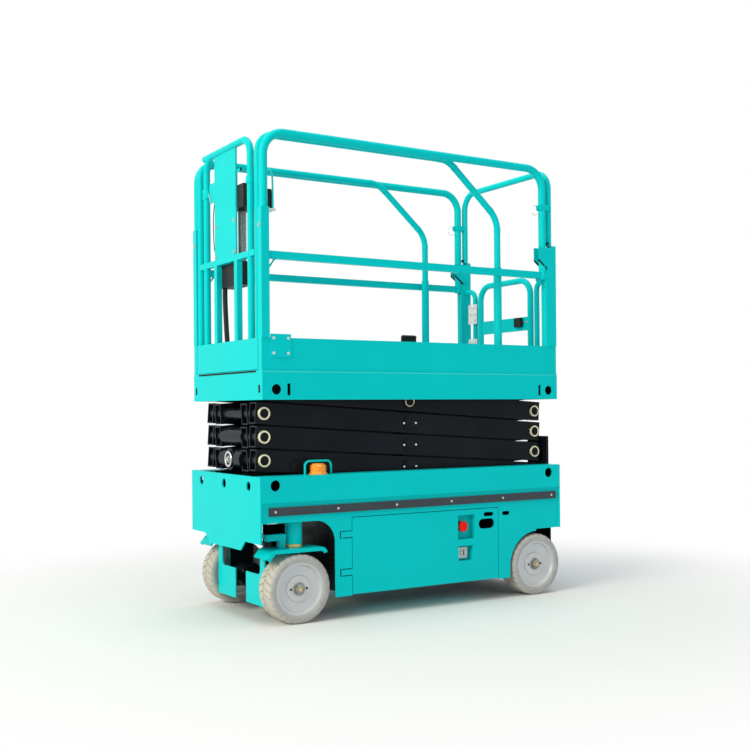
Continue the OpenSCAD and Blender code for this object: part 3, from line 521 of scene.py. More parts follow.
def hub_nut(wheel):
    """Castle nut and split pin, with painted shade for two tapped holes on the hub plate."""
    centre, half, _ = tyre_size(wheel)
    out = SIDES[wheel.split("_")[1]]
    face = centre.y + out * (half - HUB_DEPTH)
    mesh = bmesh.new()

    def at(depth, x=0.0, z=0.0):
        """Point at a distance in front of the hub plate."""
        return Vector((centre.x + x, face + out * depth, centre.z + z))
    for profile in (HUB_WASHER, HUB_CAP):
        turned(mesh, at(0), (0, out, 0), profile, 32)
    pin(mesh, at(0.002), at(0.0095), HUB_NUT_RADIUS, 6)
    pin(mesh, at(0.009), at(0.012), HUB_COLLAR_RADIUS, 32)
    x, z = SPLIT_PIN_END
    pin(mesh, at(0.014, -x, -z), at(0.014, x, z), SPLIT_PIN_RADIUS, 8, 2)
    pin(mesh, at(0.0155), at(0.01635), HUB_TIP_RADIUS, 20, 2)
    # Painted shade: dark discs where the two tapped holes are
    for x in HUB_HOLES:
        pin(mesh, at(-0.001, x), at(0.0006, x), HUB_HOLE_RADIUS, 16, 1)
    add_piece(f"hub_nut_{wheel}", mesh, ["nut_steel", "dark_recess", "brass_ring"],
              f"wheel_{wheel}")


class LIFT_OT_wheels(bpy.types.Operator):
    """Replace the tyres by treaded ones and add the hub nuts"""
    bl_idname = "lift.wheels"
    bl_label = "Wheels"

    def execute(self, context):
        detail = context.scene.lift_detail
        for wheel in WHEELS:
            treaded_tyre(wheel, detail)
            hub_nut(wheel)
        return {"FINISHED"}


# Scissor stack: profiles are (radius, distance from the arm's face)

LIFT_PIN = Vector(JOINTS["lift"]["pos_m"])
LEVEL_PITCH = JOINTS["rear_knee_1"]["pos_m"][2] - LIFT_PIN.z
FRONT_X = JOINTS["front_knee_1"]["pos_m"][0]
PIN_REACH = 0.008
ARM_FACE = span("outer_arms_3")[1].y - PIN_REACH
CAP_REACH = 0.006
PIN_RING = ((0.0278, 0.001), (0.0288, 0.001), (0.0288, 0.0095), (0.0276, 0.0112), (0.0222, 0.0112),
            (0.021, 0.01), (0.021, 0.0075), (0.0278, 0.0075))
PIN_FACE = ((0.02, 0.0075), (0.02, 0.009), (0.017, 0.01), (0.0095, 0.01), (0.008, 0.0088))
PIN_TIP = ((0.006, 0.0085), (0.006, 0.0104), (0.0035, 0.011))
KEEPER_CAP = ((0.0225, -0.001), (0.0225, 0.0022), (0.0205, 0.0034), (0.012, 0.0034))
KEEPER_BOLT = ((0.0058, 0), (0.0058, 0.0084), (0.0036, 0.0098))
KEEPER_BOLTS = (-0.034, 0.034)
TOP_RING = ((0.0215, -0.001), (0.0265, -0.001), (0.0265, 0.0032), (0.025, 0.0044),
            (0.0228, 0.0044), (0.0215, 0.0032))
END_RING = ((0.026, -0.001), (0.038, -0.001), (0.038, 0.003), (0.036, 0.0045), (0.028, 0.0045),
            (0.026, 0.003))


def level(k):
    """Height of the arm pins at a level."""
    return LIFT_PIN.z + k * LEVEL_PITCH


def pin_ring(mesh, x, z, side):
    """Plated ring round the end of a through pin, with the dark pin inside it."""
    centre, out = (x, side * ARM_FACE, z), (0, side, 0)
    turned(mesh, centre, out, PIN_RING, 40, 0, closed=True)
    turned(mesh, centre, out, PIN_FACE, 28, 1)
    turned(mesh, centre, out, PIN_TIP, 16, 1)


def middle_pin(mesh, k, side):
    """Cap of a middle pin with its two keeper bolts, or the plated ring of the top stage."""
    z, out = level(k - 0.5), (0, side, 0)
    cap = (0, side * (ARM_FACE + CAP_REACH), z)
    if k == STAGES[-1]:
        turned(mesh, cap, out, TOP_RING, 40, 0, closed=True)
        return
    turned(mesh, cap, out, KEEPER_CAP, 36, 1)
    for x in KEEPER_BOLTS:
        turned(mesh, (x, side * ARM_FACE, z), out, KEEPER_BOLT, 14, 2)


def end_plate_ring():
    """Bright ring and nut on the round end plate between the front arms."""
    face = Vector((span("outer_arms_1")[1].x, 0, level(1)))
    out = Vector((1, 0, 0))
    mesh = bmesh.new()
    turned(mesh, face, out, END_RING, 44, 0, closed=True)
    bolt(mesh, face - out * 0.001, out, 0.012, 0.008)
    add_piece("end_plate_ring", mesh, ["bright_steel"], "outer_arms_1")


class LIFT_OT_pins(bpy.types.Operator):
    """Add the plated rings and keeper bolts of the arm pins"""
    bl_idname = "lift.pins"
    bl_label = "Arm pins"

    def execute(self, context):
        for k in STAGES:
            mesh = bmesh.new()
            ends = []
            if k < STAGES[-1]:
                ends.append((FRONT_X, level(k)))
            if k > STAGES[0]:
                ends.append((-FRONT_X, level(k - 1)))
            for side in SIDES.values():
                for x, z in ends:
                    pin_ring(mesh, x, z, side)
                middle_pin(mesh, k, side)
            add_piece(f"arm_pins_{k}", mesh, ["plated_ring", "black_paint", "bright_steel"],
                      f"outer_arms_{k}")
        end_plate_ring()
        return {"FINISHED"}


# Chassis

RIVET = ((0.0055, -0.001), (0.0052, 0.0001), (0.003, 0.0002))
RIVET_INSET = 0.03
THRUST_RING = ((0.0355, -0.013), (0.0385, -0.0128), (0.0385, -0.001), (0.0355, -0.0006))
LENS_RIBS, LENS_RIB_PITCH = 4, 0.0075
MOTOR_FINS, MOTOR_FIN_PITCH = 7, 0.012
MOTOR_INSET = 0.057 + 0.14
FENDER_TOP, FENDER_THICK, FENDER_BEND = 0.331, 0.006, 0.034
FENDER_REAR, FENDER_FRONT, FENDER_OVERLAP = 0.105, 0.112, 0.024
FENDER_END = 40
FENDER_FLAP = 0.034
LIP_DEPTH, LIP_THICK, LIP_GAP = 0.018, 0.003, 0.0002
STOP_INNER, STOP_OUTER, STOP_FOOT, STOP_HEIGHT = 0.15, 0.298, 0.004, 0.143


def strip_rivets(count):
    """Domed rivets along both rub strips."""
    low, high = span("rub_strips")
    length = high.x - low.x - 2 * RIVET_INSET
    mesh = bmesh.new()
    for side in SIDES.values():
        for i in range(count):
            x = low.x + RIVET_INSET + length * i / (count - 1)
            at = (x, side * high.y, (low.z + high.z) / 2)
            turned(mesh, at, (0, side, 0), RIVET, 16)
    add_piece("strip_rivets", mesh, ["bright_steel"], "chassis")


def thrust_ring(name):
    """Brass ring under a kingpin tube."""
    x, y, _ = JOINTS["steer" if name == "left" else "steer_right"]["pos_m"]
    mesh = bmesh.new()
    turned(mesh, (x, y, span("front_axle")[0].z), (0, 0, 1), THRUST_RING, 40, closed=True)
    add_piece(f"thrust_ring_{name}", mesh, ["brass_ring"], f"knuckle_{name}")


def beacon_lens():
    """Ribbed amber lens on its foot."""
    low, high = span("beacon")
    centre = (low + high) / 2
    base = Vector((centre.x, centre.y, low.z))
    radius = (high.x - low.x) / 2
    top = high.z - low.z
    foot = [(radius, 0), (radius, 0.006), (radius - 0.003, 0.0085)]
    lens = [(radius - 0.004, 0.008)]
    for i in range(LENS_RIBS):
        z = 0.01 + LENS_RIB_PITCH * i
        lens += [(radius - 0.0045, z), (radius - 0.0045, z + 0.0042), (radius - 0.0065, z + 0.0058)]
    lens += [(radius - 0.006, 0.04), (radius - 0.0095, top - 0.006),
             (radius - 0.015, top - 0.0015), (radius - 0.023, top)]
    mesh = bmesh.new()
    for profile in (foot, lens):
        turned(mesh, base, (0, 0, 1), profile, 48)
    piece = add_piece("beacon_lens", mesh, ["amber_lens"], "chassis")
    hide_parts("beacon")


def motor_cover(name, side):
    """Black finned cover over a drive motor."""
    x, y, z = middle(f"rim_front_{name}")
    inner = abs(y) - MOTOR_INSET
    profile = [(0.04, inner - 0.004), (0.052, inner - 0.002), (0.0575, inner + 0.006)]
    for i in range(MOTOR_FINS):
        along = inner + 0.012 + MOTOR_FIN_PITCH * i
        profile += [(0.059, along), (0.059, along + 0.006), (0.0568, along + 0.008)]
    profile += [(0.0575, inner + 0.1), (0.0553, inner + 0.101)]
    mesh = bmesh.new()
    turned(mesh, (x, 0, z), (0, side, 0), profile, 40)
    add_piece(f"motor_cover_{name}", mesh, ["black_paint"], f"knuckle_{name}")


def rear_stops():
    """Black upright plates on the chassis behind the arm ends."""
    low, high = span("chassis_frame")
    mesh = bmesh.new()
    for side in SIDES.values():
        near, far = strip(side, STOP_INNER, STOP_OUTER)
        slab(mesh, (low.x + 0.0015, near, high.z - STOP_FOOT),
             (low.x + 0.0205, far, high.z + STOP_HEIGHT), 0, 0.002)
    add_piece("rear_stops", mesh, ["black_paint"], "chassis")


def fender_lip(name, side):
    """Turned-down lip along the outer edge of a fender, and the flap at its front."""
    axle = middle(f"rim_front_{name}").x
    edge = max(abs(corner.y) for corner in span(f"lower_side_{name}"))
    inner = min(abs(corner.y) for corner in span(f"tyre_front_{name}")) - FENDER_OVERLAP
    rear, front, z = axle - FENDER_REAR, axle + FENDER_FRONT, FENDER_TOP - FENDER_BEND

    def bent(x, turn, radius):
        """Point of a bend in x and z."""
        angle = math.radians(turn)
        return Vector((x + radius * math.cos(angle), z + radius * math.sin(angle)))
    end = math.radians(FENDER_END)
    flap = Vector((math.sin(end), -math.cos(end))) * FENDER_FLAP
    path = [(rear, turn) for turn in range(165, 89, -15)]
    path += [(front, turn) for turn in range(90, FENDER_END - 1, -10)]
    rows = [[bent(x, turn, r) for r in (FENDER_BEND, FENDER_BEND - LIP_DEPTH)] for x, turn in path]
    rows.append([point + flap for point in rows[-1]])
    near, far = side * (edge - LIP_THICK), side * (edge - LIP_GAP)
    mesh = bmesh.new()
    tips = [bent(front, FENDER_END, r) for r in (FENDER_BEND, FENDER_BEND - FENDER_THICK)]
    side_sheet(mesh, (tips[0], tips[0] + flap, tips[1] + flap, tips[1]), side * inner, near)
    loft(mesh, [[mesh.verts.new((point.x, y, point.y))
                 for point, y in ((outer, near), (lower, near), (lower, far), (outer, far))]
                for outer, lower in rows])
    add_piece(f"fender_lip_{name}", mesh, ["teal_paint"], f"knuckle_{name}")


class LIFT_OT_chassis(bpy.types.Operator):
    """Add rivets, thrust rings, beacon lens, motor covers, fender lips and rear stops"""
    bl_idname = "lift.chassis"
    bl_label = "Chassis fittings"

    def execute(self, context):
        strip_rivets(context.scene.lift_detail.rivets)
        for name in SIDES:
            thrust_ring(name)
        beacon_lens()
        for name, side in SIDES.items():
            motor_cover(name, side)
        for name, side in SIDES.items():
            fender_lip(name, side)
        rear_stops()
        return {"FINISHED"}


# Doors

def ground_panel():
    """Stop button and key switch in their pocket."""
    low, high = span("ground_controls")
    reach = high.y - low.y
    out = (0, 1, 0)
    mesh = bmesh.new()
    button = Vector((high.x - 0.021, low.y, high.z - 0.021))
    stem = [(0.023, 0), (0.023, 0.005), (0.018, 0.008), (0.015, reach - 0.012)]
    knob = [(0.014, reach - 0.013), (0.0255, reach - 0.012), (0.0262, reach - 0.009),
            (0.025, reach - 0.004), (0.019, reach - 0.0008), (0.009, reach)]
    turned(mesh, button, out, stem, 32, 1)
    turned(mesh, button, out, knob, 36)
    switch = Vector((low.x + 0.03, low.y, low.z + 0.028))
    slab(mesh, switch + Vector((-0.03, 0, -0.028)), switch + Vector((0.026, 0.014, 0.026)),
         3, 0.002)
    turned(mesh, switch, out, [(0.013, 0.013), (0.013, 0.021), (0.0115, 0.0225)], 28, 2)
    slab(mesh, switch + Vector((-0.0025, 0.021, -0.01)),
         switch + Vector((0.0025, 0.026, 0.01)), 1, 0.0006)
    piece = add_piece("ground_panel", mesh,
                      ["red_plastic", "black_plastic", "bright_steel", "switch_plate"],
                      "door_left")
    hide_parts("ground_controls")


class LIFT_OT_doors(bpy.types.Operator):
    """Add the stop button and the key switch of the left door"""
    bl_idname = "lift.doors"
    bl_label = "Door fittings"

    def execute(self, context):
        ground_panel()
        return {"FINISHED"}


# Platform

BAR_STEP, BAR_MARGIN, BAR_LENGTH, BAR_WIDTH, BAR_HEIGHT = 0.044, 0.03, 0.012, 0.0025, 0.0016
BAR_TAPER = 0.75
RAIL_Y = 0.361
STAYS = (((0.754, RAIL_Y, 1.596), (0.796, RAIL_Y, 1.536)),
         ((0.728, -RAIL_Y, 1.593), (0.765, -RAIL_Y, 1.547)),
         ((-0.722, RAIL_Y, 1.584), (-0.765, RAIL_Y, 1.551)),
         ((-0.746, -RAIL_Y, 1.595), (-0.8, -RAIL_Y, 1.547)))
STAY_RADIUS, LUG_RADIUS, LUG_HALF = 0.004, 0.008, 0.006
BRACKET_BOLTS = [(x, z) for x in (0.702, 0.772) for z in (1.183, 1.248)]
SOCKET_PLATE = ((-0.716, 1.748), (-0.716, 1.69), (-0.775, 1.645), (-0.8275, 1.645),
                (-0.8275, 1.748))
# Painted shade under the slanted edge of the socket plates
SOCKET_SHADE = ((-0.716, 1.69), (-0.716, 1.68), (-0.775, 1.634), (-0.775, 1.645))
SOCKET_CHEEKS = ((0.377, 0.3799), (0.3403, 0.343))
CLAMP_WIRE = ((-0.728, 1.952), (-0.7, 1.958), (-0.69, 1.925), (-0.706, 1.912), (-0.728, 1.918))
WIRE_RADIUS = 0.0016
HINGE_FEET, HINGE_HEIGHT = (1.214, 1.406), 0.109
HINGE_BOLTS = [(y, z) for z in (0.016, 0.054, 0.093) for y in (-0.018, 0.027)]


def tread_plate(name, low, high, body):
    """Anti-slip sheet with rows of raised bars laid in alternate directions."""
    mesh = bmesh.new()
    slab(mesh, low, (high[0], high[1], high[2] - 0.0015), 0, 0.0002)
    columns = int((high[0] - low[0] - 0.04) / BAR_STEP)
    rows = int((high[1] - low[1] - 0.04) / BAR_STEP)
    rise = Vector((0, 0, BAR_HEIGHT))
    for i in range(columns):
        for j in range(rows):
            base = Vector((low[0] + BAR_MARGIN + i * BAR_STEP, low[1] + BAR_MARGIN + j * BAR_STEP,
                           high[2] - BAR_HEIGHT))
            lean = 1 if (i + j) % 2 else -1
            length = Vector((BAR_LENGTH, BAR_LENGTH * lean, 0))
            width = Vector((-BAR_WIDTH * lean, BAR_WIDTH, 0))
            corners = (-length, width, length, -width)
            loft(mesh, [[mesh.verts.new(base + corner) for corner in corners],
                        [mesh.verts.new(base + corner * BAR_TAPER + rise) for corner in corners]])
    add_piece(name, mesh, ["teal_paint"], body)


def bracket_bolts():
    """Bolts on the front bracket plates and on the folding posts."""
    mesh = bmesh.new()
    for name, side in SIDES.items():
        low, high = span(f"side_rail_{name}")
        edge = side * max(abs(low.y), abs(high.y))
        out = (0, side, 0)
        for x, z in BRACKET_BOLTS:
            bolt(mesh, (x, edge - side * 0.0045, z), out, 0.007, 0.0042)
        bolt(mesh, (high.x - 0.001, edge - side * 0.019, 1.735), (1, 0, 0), 0.008, 0.006)
        bolt(mesh, (-0.79, edge - side * 0.003, 1.742), out, 0.006, 0.0028)
    add_piece("bracket_bolts", mesh, ["bright_steel"], "platform")


def rail_stays():
    """Short wire stays with their lugs under the middle rails."""
    mesh = bmesh.new()
    half = Vector((0, LUG_HALF, 0))
    for stay in STAYS:
        pin(mesh, *stay, STAY_RADIUS, 12)
        for tip in stay:
            pin(mesh, Vector(tip) - half, Vector(tip) + half, LUG_RADIUS, 16)
    add_piece("rail_stays", mesh, ["teal_paint"], "platform")


def rail_sockets():
    """Folded plates that hold the lower ends of the rear rail tubes, with painted shade under their
    slanted edge and in the hole below them.
    """
    mesh = bmesh.new()
    for side in SIDES.values():
        for inner, outer in SOCKET_CHEEKS:
            side_sheet(mesh, SOCKET_PLATE, side * inner, side * outer)
            # Painted shade under the slanted edge of each plate
            side_sheet(mesh, SOCKET_SHADE, side * inner, side * outer, 1)
        # Painted shade: a dark bar where the hole through the cheeks is
        pin(mesh, (-0.779, side * 0.344, 1.77), (-0.779, side * 0.379, 1.77), 0.0062, 16, 1)
    add_piece("rail_sockets", mesh, ["teal_paint", "dark_recess"], "platform")


def rail_clamps():
    """Clamp and wire pin across each rear rail tube and the post behind it."""
    mesh = bmesh.new()
    for side in SIDES.values():
        y = side * RAIL_Y
        near, far = strip(side, 0.3415, 0.3799)
        slab(mesh, (-0.802, near, 1.937), (-0.734, far, 1.966), 0, 0.002)
        slab(mesh, (-0.736, y - 0.008, 1.942), (-0.722, y + 0.008, 1.961), 0, 0.001)
        hose(mesh, smooth_route([(x, y, z) for x, z in CLAMP_WIRE]), WIRE_RADIUS, 8, 1)
    add_piece("rail_clamps", mesh, ["teal_paint", "bright_steel"], "platform")


def platform_seams():
    """Painted highlight along the ledge of the side plates, where it catches the light, and painted
    shade in the gap and slots of the front plate.
    """
    low, high = span("platform_deck")
    seam = span("side_rail_left")[0].z - 0.009
    back, front = high.x - 0.003, high.x + 0.0003
    mesh = bmesh.new()
    for side in SIDES.values():
        # Painted highlight: a pale teal strip along the ledge of each side plate
        near, far = strip(side, high.y - 0.0031, high.y - 0.0001)
        slab(mesh, (low.x + 0.004, near, seam - 0.0015), (high.x - 0.004, far, seam + 0.002))
        # Painted shade in the slots of the front plate
        near, far = strip(side, 0.34, 0.358)
        slab(mesh, (back, near, 1.012), (front, far, 1.046), 1, 0.0001)
    # Painted shade in the gap across the front plate
    slab(mesh, (back, -0.318, seam - 0.001), (front, 0.318, seam + 0.007), 1, 0.0001)
    add_piece("platform_seams", mesh, ["pale_edge", "dark_recess"], "platform")


def power_socket():
    """Black power socket with its lid on the right toe board."""
    mesh = bmesh.new()
    slab(mesh, (-0.46, -0.372, 1.24), (-0.37, -0.346, 1.34), 0, 0.005)
    slab(mesh, (-0.452, -0.348, 1.252), (-0.378, -0.338, 1.318), 0, 0.004)
    pin(mesh, (-0.455, -0.346, 1.33), (-0.375, -0.346, 1.33), 0.006, 16)
    add_piece("power_socket", mesh, ["black_plastic"], "platform")


def gate_hardware():
    """Hinge plates, latch and lock pin of the gate."""
    x, y = JOINTS["gate_swing"]["pos_m"][:2]
    face = x + 0.0213
    knuckle = face + 0.002
    mesh = bmesh.new()
    for foot in HINGE_FEET:
        top = foot + HINGE_HEIGHT
        for near, far in ((y - 0.033, y + 0.003), (y + 0.011, y + 0.043)):
            slab(mesh, (face, near, foot), (face + 0.003, far, top), 0, 0.0008)
        slab(mesh, (x + 0.01, y + 0.014, foot + 0.03), (knuckle, y + 0.04, top - 0.03))
        pin(mesh, (knuckle, y + 0.007, foot), (knuckle, y + 0.007, top), 0.005, 16)
        for across, rise in HINGE_BOLTS:
            bolt(mesh, (face + 0.0025, y + across, foot + rise), (1, 0, 0), 0.0055, 0.0045)
    slab(mesh, (x + 0.01, 0.101, 1.363), (x + 0.026, 0.162, 1.412), 1, 0.004)
    pin(mesh, (x, 0.16, 1.388), (x, 0.211, 1.388), 0.006, 16)
    add_piece("gate_hardware", mesh, ["zinc_plate", "black_plastic"], "gate")


class LIFT_OT_platform(bpy.types.Operator):
    """Add the deck sheet, bolts, rail stays, sockets, clamps, painted seam highlight and shade,
    gate hardware and socket
    """
    bl_idname = "lift.platform"
    bl_label = "Platform fittings"

    def execute(self, context):
        bracket_bolts()
        rail_stays()
        rail_sockets()
        rail_clamps()
        platform_seams()
        gate_hardware()
        power_socket()
        front, inner = span("extension_deck")[0].x - 0.008, span("extension_deck")[1].y - 0.01
        rear, top = span("platform_deck")[0].x + 0.055, span("side_rail_left")[0].z
        tread_plate("rear_tread", (rear, -inner, top - 0.0005), (front, inner, top + 0.002),
                    "platform")
        return {"FINISHED"}


# Extension deck

FRAME_BOLTS = [(y, z) for y in (-0.128, 0.078) for z in (1.656, 1.797)]
POST_Y = 0.243
POST_CLAMPS = ((1, 1.934, 0.034), (-1, 1.944, 0.049))
CLAMP_INNER, CLAMP_OUTER = 0.0155, 0.02
TOP_BAR_RADIUS, TOP_BAR_END = 0.0159, (-0.166, -0.264)
LOCK_PIN = ((0.004, 0.03, 0.03), (0.012, 0.052, 0.01), (0.01, 0.064, -0.02),
            (0.0, 0.052, -0.026), (-0.004, 0.03, 0.01))
JOYSTICK = ((0.006, 0), (0.006, 0.01), (0.009, 0.012), (0.008, 0.022), (0.003, 0.026))
GUARD_TOP, GUARD_HALF, GUARD_RADIUS = 2.02, 0.006, 0.0042
CONDUIT_X, CONDUIT_RADIUS = 0.785, 0.0115
LANYARD_X, LANYARD_RADIUS = 0.812, 0.002
LANYARD = ((-0.15, 1.922), (-0.164, 1.87), (-0.168, 1.8), (-0.162, 1.72), (-0.15, 1.68),
           (-0.13, 1.664))
CURL_RADIUS, CURL_STEPS = 0.004, 14


def free_cord(name, route, radius, finish):
    """Cord along a route that starts and ends on the extension."""
    mesh = bmesh.new()
    hose(mesh, route, radius, 10)
    piece = add_piece(name, mesh, [finish], "extension")
    return piece


def front_fittings():
    """Bolts of the front panel, loose end of the top bar, clamps and lock pin of the posts."""
    low, high = span("front_frame")
    x, top = (low.x + high.x) / 2, high.z - TOP_BAR_RADIUS
    mesh = bmesh.new()
    for y, z in FRAME_BOLTS:
        bolt(mesh, (x + 0.0035, y, z), (1, 0, 0), 0.007, 0.006, 1)
    start, end = TOP_BAR_END
    pin(mesh, (x, start, top), (x, end, top), TOP_BAR_RADIUS, 24)
    for side, foot, height in POST_CLAMPS:
        post = Vector((x, side * POST_Y, foot))
        ring = [(CLAMP_INNER, 0), (CLAMP_OUTER, 0.0005), (CLAMP_OUTER, height - 0.0005),
                (CLAMP_INNER, height)]
        turned(mesh, post, (0, 0, 1), ring, 32, 0, closed=True)
        slab(mesh, post + Vector((-0.01, -side * 0.034, 0.006)),
             post + Vector((0.01, -side * 0.014, height - 0.006)), 0, 0.002)
        if side < 0:
            route = smooth_route([post + Vector(step) for step in LOCK_PIN])
            hose(mesh, route, WIRE_RADIUS, 8, 1)
    add_piece("front_fittings", mesh, ["teal_paint", "bright_steel"], "extension")


def control_unit():
    """Joystick head beside the control box, its tray and the wire guard over it."""
    low, high = span("control_box")
    front, foot = low.x + 0.004, low.z
    bar_low, bar_high = GUARD_TOP - GUARD_HALF, GUARD_TOP + GUARD_HALF
    guard_back, guard_side = high.x + 0.002, high.y - 0.024
    mesh = bmesh.new()
    # Joystick head, tray and its foot, then the bars and the post of the guard
    for start, end, slot, bevel in (
        ((front, high.y - 0.004, foot - 0.014), (front + 0.07, 0.224, foot + 0.076), 0, 0.006),
        ((front - 0.002, high.y - 0.012, foot - 0.024), (front + 0.08, 0.25, foot - 0.016),
         1, 0.002),
        ((front + 0.01, high.y - 0.002, foot - 0.018), (front + 0.06, 0.22, foot - 0.012), 1, 0),
        ((front, high.y - 0.034, bar_low), (guard_back, guard_side, bar_high), 2, 0.001),
        ((high.x - 0.004, high.y - 0.12, bar_low), (guard_back, guard_side, bar_high), 2, 0.001),
        ((high.x - 0.004, 0.06, foot), (high.x + 0.001, 0.09, GUARD_TOP), 2, 0.001),
    ):
        slab(mesh, start, end, slot, bevel)
    stick = front + 0.035
    pin(mesh, (stick, 0.176, foot + 0.072), (stick, 0.176, foot + 0.094), 0.017, 24)
    turned(mesh, (stick, 0.206, foot + 0.074), (0, 0, 1), JOYSTICK, 20)
    guard = ((high.y - 0.03, GUARD_TOP), (0.18, GUARD_TOP), (0.212, 2.01), (0.23, 1.98),
             (0.234, 1.93), (0.236, foot - 0.018))
    for x in (front + 0.008, front + 0.068):
        hose(mesh, smooth_route([(x, y, z) for y, z in guard]), GUARD_RADIUS, 10, 2)
    add_piece("control_unit", mesh, ["black_plastic", "white_plastic", "teal_paint"], "extension")


def conduit():
    """Black conduit from the paper box down to the deck."""
    top, deck = span("manual_box")[0].z, span("extension_rails")[0].z
    points = ((-0.1, top + 0.01), (-0.098, top - 0.08), (-0.08, top - 0.24), (-0.055, deck + 0.001))
    free_cord("conduit", smooth_route([(CONDUIT_X, y, z) for y, z in points], 30),
              CONDUIT_RADIUS, "black_plastic")


def lanyard():
    """Thin lanyard that hangs between the front panel's flange and its lower bolt."""
    free_cord("lanyard", smooth_route([(LANYARD_X, y, z) for y, z in LANYARD], 24),
              LANYARD_RADIUS, "black_plastic")


def curly_cable(turns):
    """Curly cable between the control box and the paper box."""
    low, high = span("cable")
    centre = (low + high) / 2
    radius = (high.x - low.x) / 2 - CURL_RADIUS
    foot, height = low.z + CURL_RADIUS, high.z - low.z - 2 * CURL_RADIUS
    steps = turns * CURL_STEPS
    points = []
    for i in range(steps + 1):
        t = i / steps
        turn = 2 * math.pi * turns * t
        points.append(Vector((centre.x + radius * math.cos(turn),
                              centre.y + radius * math.sin(turn), foot + height * t)))
    piece = free_cord("curly_cable", points, CURL_RADIUS, "grey_cable")
    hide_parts("cable")


class LIFT_OT_extension(bpy.types.Operator):
    """Add the cords, the fittings of the front frame, the joystick head and the deck sheet"""
    bl_idname = "lift.extension"
    bl_label = "Extension fittings"

    def execute(self, context):
        curly_cable(context.scene.lift_detail.curl_turns)
        front_fittings()
        control_unit()
        conduit()
        lanyard()
        rear, top = span("extension_deck")[0].x + 0.015, span("extension_rails")[0].z
        tread_plate("front_tread", (rear, -0.29, top - 0.0005), (0.785, 0.29, top + 0.0025),
                    "extension")
        return {"FINISHED"}


# Studio

SKY_TINT = (0.94, 0.98, 1.0, 1)
WHITE = (1, 1, 1, 1)
FLOOR_REACH = 60.0
FADE_FROM, FADE_TO = 1.2, 3.0
SENSOR_WIDTH = 36.0
LAMP_AIM = Vector((0, 0, 1.0))
# Name, place, size in metres, power in watts and colour
LAMPS = (("front_lamp", (15.0, 3.0, 8.5), 8.75, 2250, (1.0, 1.0, 0.82)),
         ("side_lamp", (-1.25, 16.25, 7.25), 7.5, 230, (0.93, 0.97, 1.0)),
         ("top_lamp", (0.0, 0.0, 30.0), 17.0, 3490, (1.0, 1.0, 1.0)))


def seen_directly(tree):
    """One for rays that show the backdrop itself, its mirror image or it through glass."""
    path = add_node(tree, "LightPath")
    total = path.outputs["Is Camera Ray"]
    for output in ("Is Glossy Ray", "Is Transmission Ray"):
        larger = add_node(tree, "Math", operation="MAXIMUM")
        tree.links.new(total, larger.inputs[0])
        tree.links.new(path.outputs[output], larger.inputs[1])
        total = larger.outputs[0]
    return total


def add_world(scene, stage):
    """White backdrop with even, weaker light."""
    world = bpy.data.worlds.new("studio")
    scene.world = world
    world.use_nodes = True
    tree = world.node_tree
    back = tree.nodes["Background"]
    tint = add_node(tree, "MixRGB", {"Color1": SKY_TINT, "Color2": WHITE})
    strength = add_node(tree, "MapRange", {"To Min": stage.ambient, "To Max": 1.0})
    seen = seen_directly(tree)
    tree.links.new(seen, tint.inputs["Fac"])
    tree.links.new(seen, strength.inputs["Value"])
    node_link(tree, tint, "Color", back, "Color")
    node_link(tree, strength, "Result", back, "Strength")


def add_floor(scene, stage):
    """Wide pale floor."""
    data = bpy.data.meshes.new("studio_floor")
    reach = FLOOR_REACH
    corners = [(-reach, -reach, 0), (reach, -reach, 0), (reach, reach, 0), (-reach, reach, 0)]
    data.from_pydata(corners, [], [(0, 1, 2, 3)])
    finish = make_finish("floor_paint", stage.floor, 0.9, (0.004, 0.5))
    fade_to_white(finish.node_tree)
    data.materials.append(finish)
    floor = bpy.data.objects.new("studio_floor", data)
    scene.collection.objects.link(floor)


def fade_to_white(tree):
    """Lets the floor turn into the white backdrop away from the machine."""
    reach = add_node(tree, "VectorMath", operation="LENGTH")
    node_link(tree, add_node(tree, "TexCoord"), "Object", reach, 0)
    fade = add_node(tree, "MapRange", {"From Min": FADE_FROM, "From Max": FADE_TO})
    fade.interpolation_type = "SMOOTHSTEP"
    node_link(tree, reach, "Value", fade, "Value")
    both = add_node(tree, "Math", operation="MULTIPLY")
    tree.links.new(seen_directly(tree), both.inputs[0])
    node_link(tree, fade, "Result", both, 1)
    mixed = add_node(tree, "MixShader")
    node_link(tree, both, "Value", mixed, "Fac")
    node_link(tree, tree.nodes[SHADER], "BSDF", mixed, 1)
    node_link(tree, add_node(tree, "Emission"), "Emission", mixed, 2)
    node_link(tree, mixed, "Shader", tree.nodes["Material Output"], "Surface")


def add_lamps(scene):
    """Large soft lamps: one ahead of the machine, one on its left, one overhead."""
    for name, place, size, power, tone in LAMPS:
        light = bpy.data.lights.new(name, "AREA")
        light.size = size
        light.energy = power
        light.color = tone
        lamp = bpy.data.objects.new(name, light)
        lamp.location = place
        lamp.rotation_euler = (LAMP_AIM - Vector(place)).to_track_quat("-Z", "Y").to_euler()
        scene.collection.objects.link(lamp)


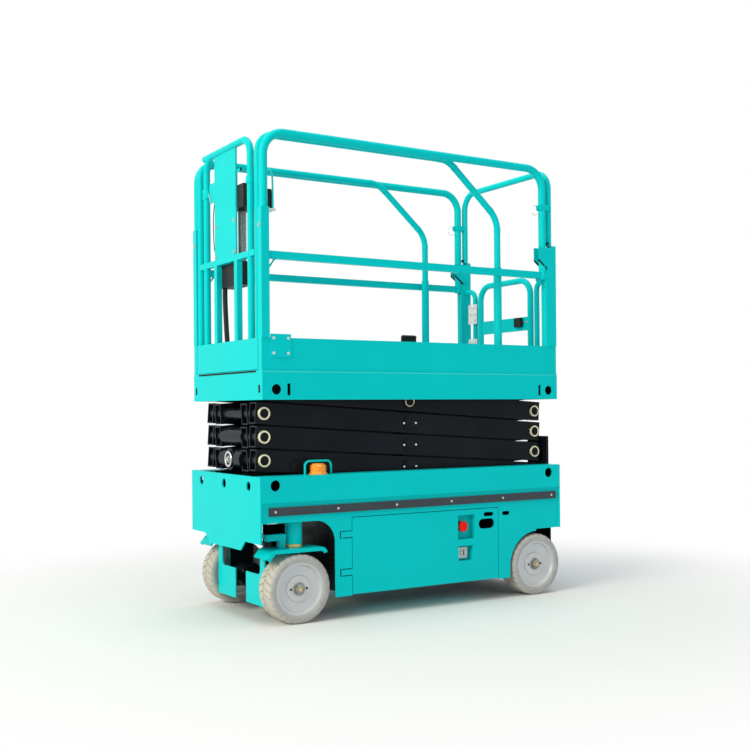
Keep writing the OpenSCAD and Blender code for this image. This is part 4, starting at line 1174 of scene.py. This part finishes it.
def add_camera(scene, stage):
    """Camera at the place and angle of the picture."""
    data = bpy.data.cameras.new("camera")
    data.lens = stage.lens
    data.sensor_width = SENSOR_WIDTH
    data.shift_x, data.shift_y = stage.shift
    place = Vector(stage.camera_at)
    heading = math.atan2(-place.y, -place.x)
    ahead = Vector((math.cos(heading) * math.cos(stage.tilt),
                    math.sin(heading) * math.cos(stage.tilt), math.sin(stage.tilt)))
    right = ahead.cross(Vector((0, 0, 1))).normalized()
    up = right.cross(ahead)
    right, up = (right * math.cos(stage.roll) + up * math.sin(stage.roll),
                 up * math.cos(stage.roll) - right * math.sin(stage.roll))
    turn = Matrix((right, up, -ahead)).transposed().to_4x4()
    camera = bpy.data.objects.new("camera", data)
    camera.matrix_world = Matrix.Translation(place) @ turn
    scene.collection.objects.link(camera)
    scene.camera = camera


class LIFT_OT_stage(bpy.types.Operator):
    """Set up the floor, lamps, world and camera"""
    bl_idname = "lift.stage"
    bl_label = "Studio"

    def execute(self, context):
        scene, stage = context.scene, context.scene.lift_stage
        add_world(scene, stage)
        add_floor(scene, stage)
        add_lamps(scene)
        add_camera(scene, stage)
        scene.view_settings.view_transform = "Standard"
        return {"FINISHED"}


OPERATORS = (LIFT_OT_paint, LIFT_OT_wheels, LIFT_OT_pins, LIFT_OT_chassis, LIFT_OT_doors,
             LIFT_OT_platform, LIFT_OT_extension, LIFT_OT_stage)
GROUPS = {"lift_colours": LiftColours, "lift_detail": LiftDetail, "lift_stage": LiftStage}


class LIFT_PT_panel(bpy.types.Panel):
    """Sidebar panel of the lift"""
    bl_idname = "LIFT_PT_panel"
    bl_label = "Scissor lift"
    bl_space_type = "VIEW_3D"
    bl_region_type = "UI"
    bl_category = "Lift"

    def draw(self, context):
        for operator in OPERATORS:
            self.layout.operator(operator.bl_idname)
        for name in GROUPS:
            group = getattr(context.scene, name)
            for entry in group.__annotations__:
                self.layout.prop(group, entry)


def register():
    """Adds the settings, the operators and the panel to Blender."""
    for name, group in GROUPS.items():
        bpy.utils.register_class(group)
        setattr(bpy.types.Scene, name, bpy.props.PointerProperty(type=group))
    for operator in OPERATORS:
        bpy.utils.register_class(operator)
    bpy.utils.register_class(LIFT_PT_panel)


def unregister():
    """Takes them out again."""
    bpy.utils.unregister_class(LIFT_PT_panel)
    for operator in reversed(OPERATORS):
        bpy.utils.unregister_class(operator)
    for name, group in GROUPS.items():
        delattr(bpy.types.Scene, name)
        bpy.utils.unregister_class(group)


def main():
    """Builds the whole scene in order."""
    register()
    bpy.ops.lift.paint()
    bpy.ops.lift.stage()
    bpy.ops.lift.wheels()
    bpy.ops.lift.pins()
    bpy.ops.lift.chassis()
    bpy.ops.lift.doors()
    bpy.ops.lift.platform()
    bpy.ops.lift.extension()


if __name__ == "__main__":
    main()
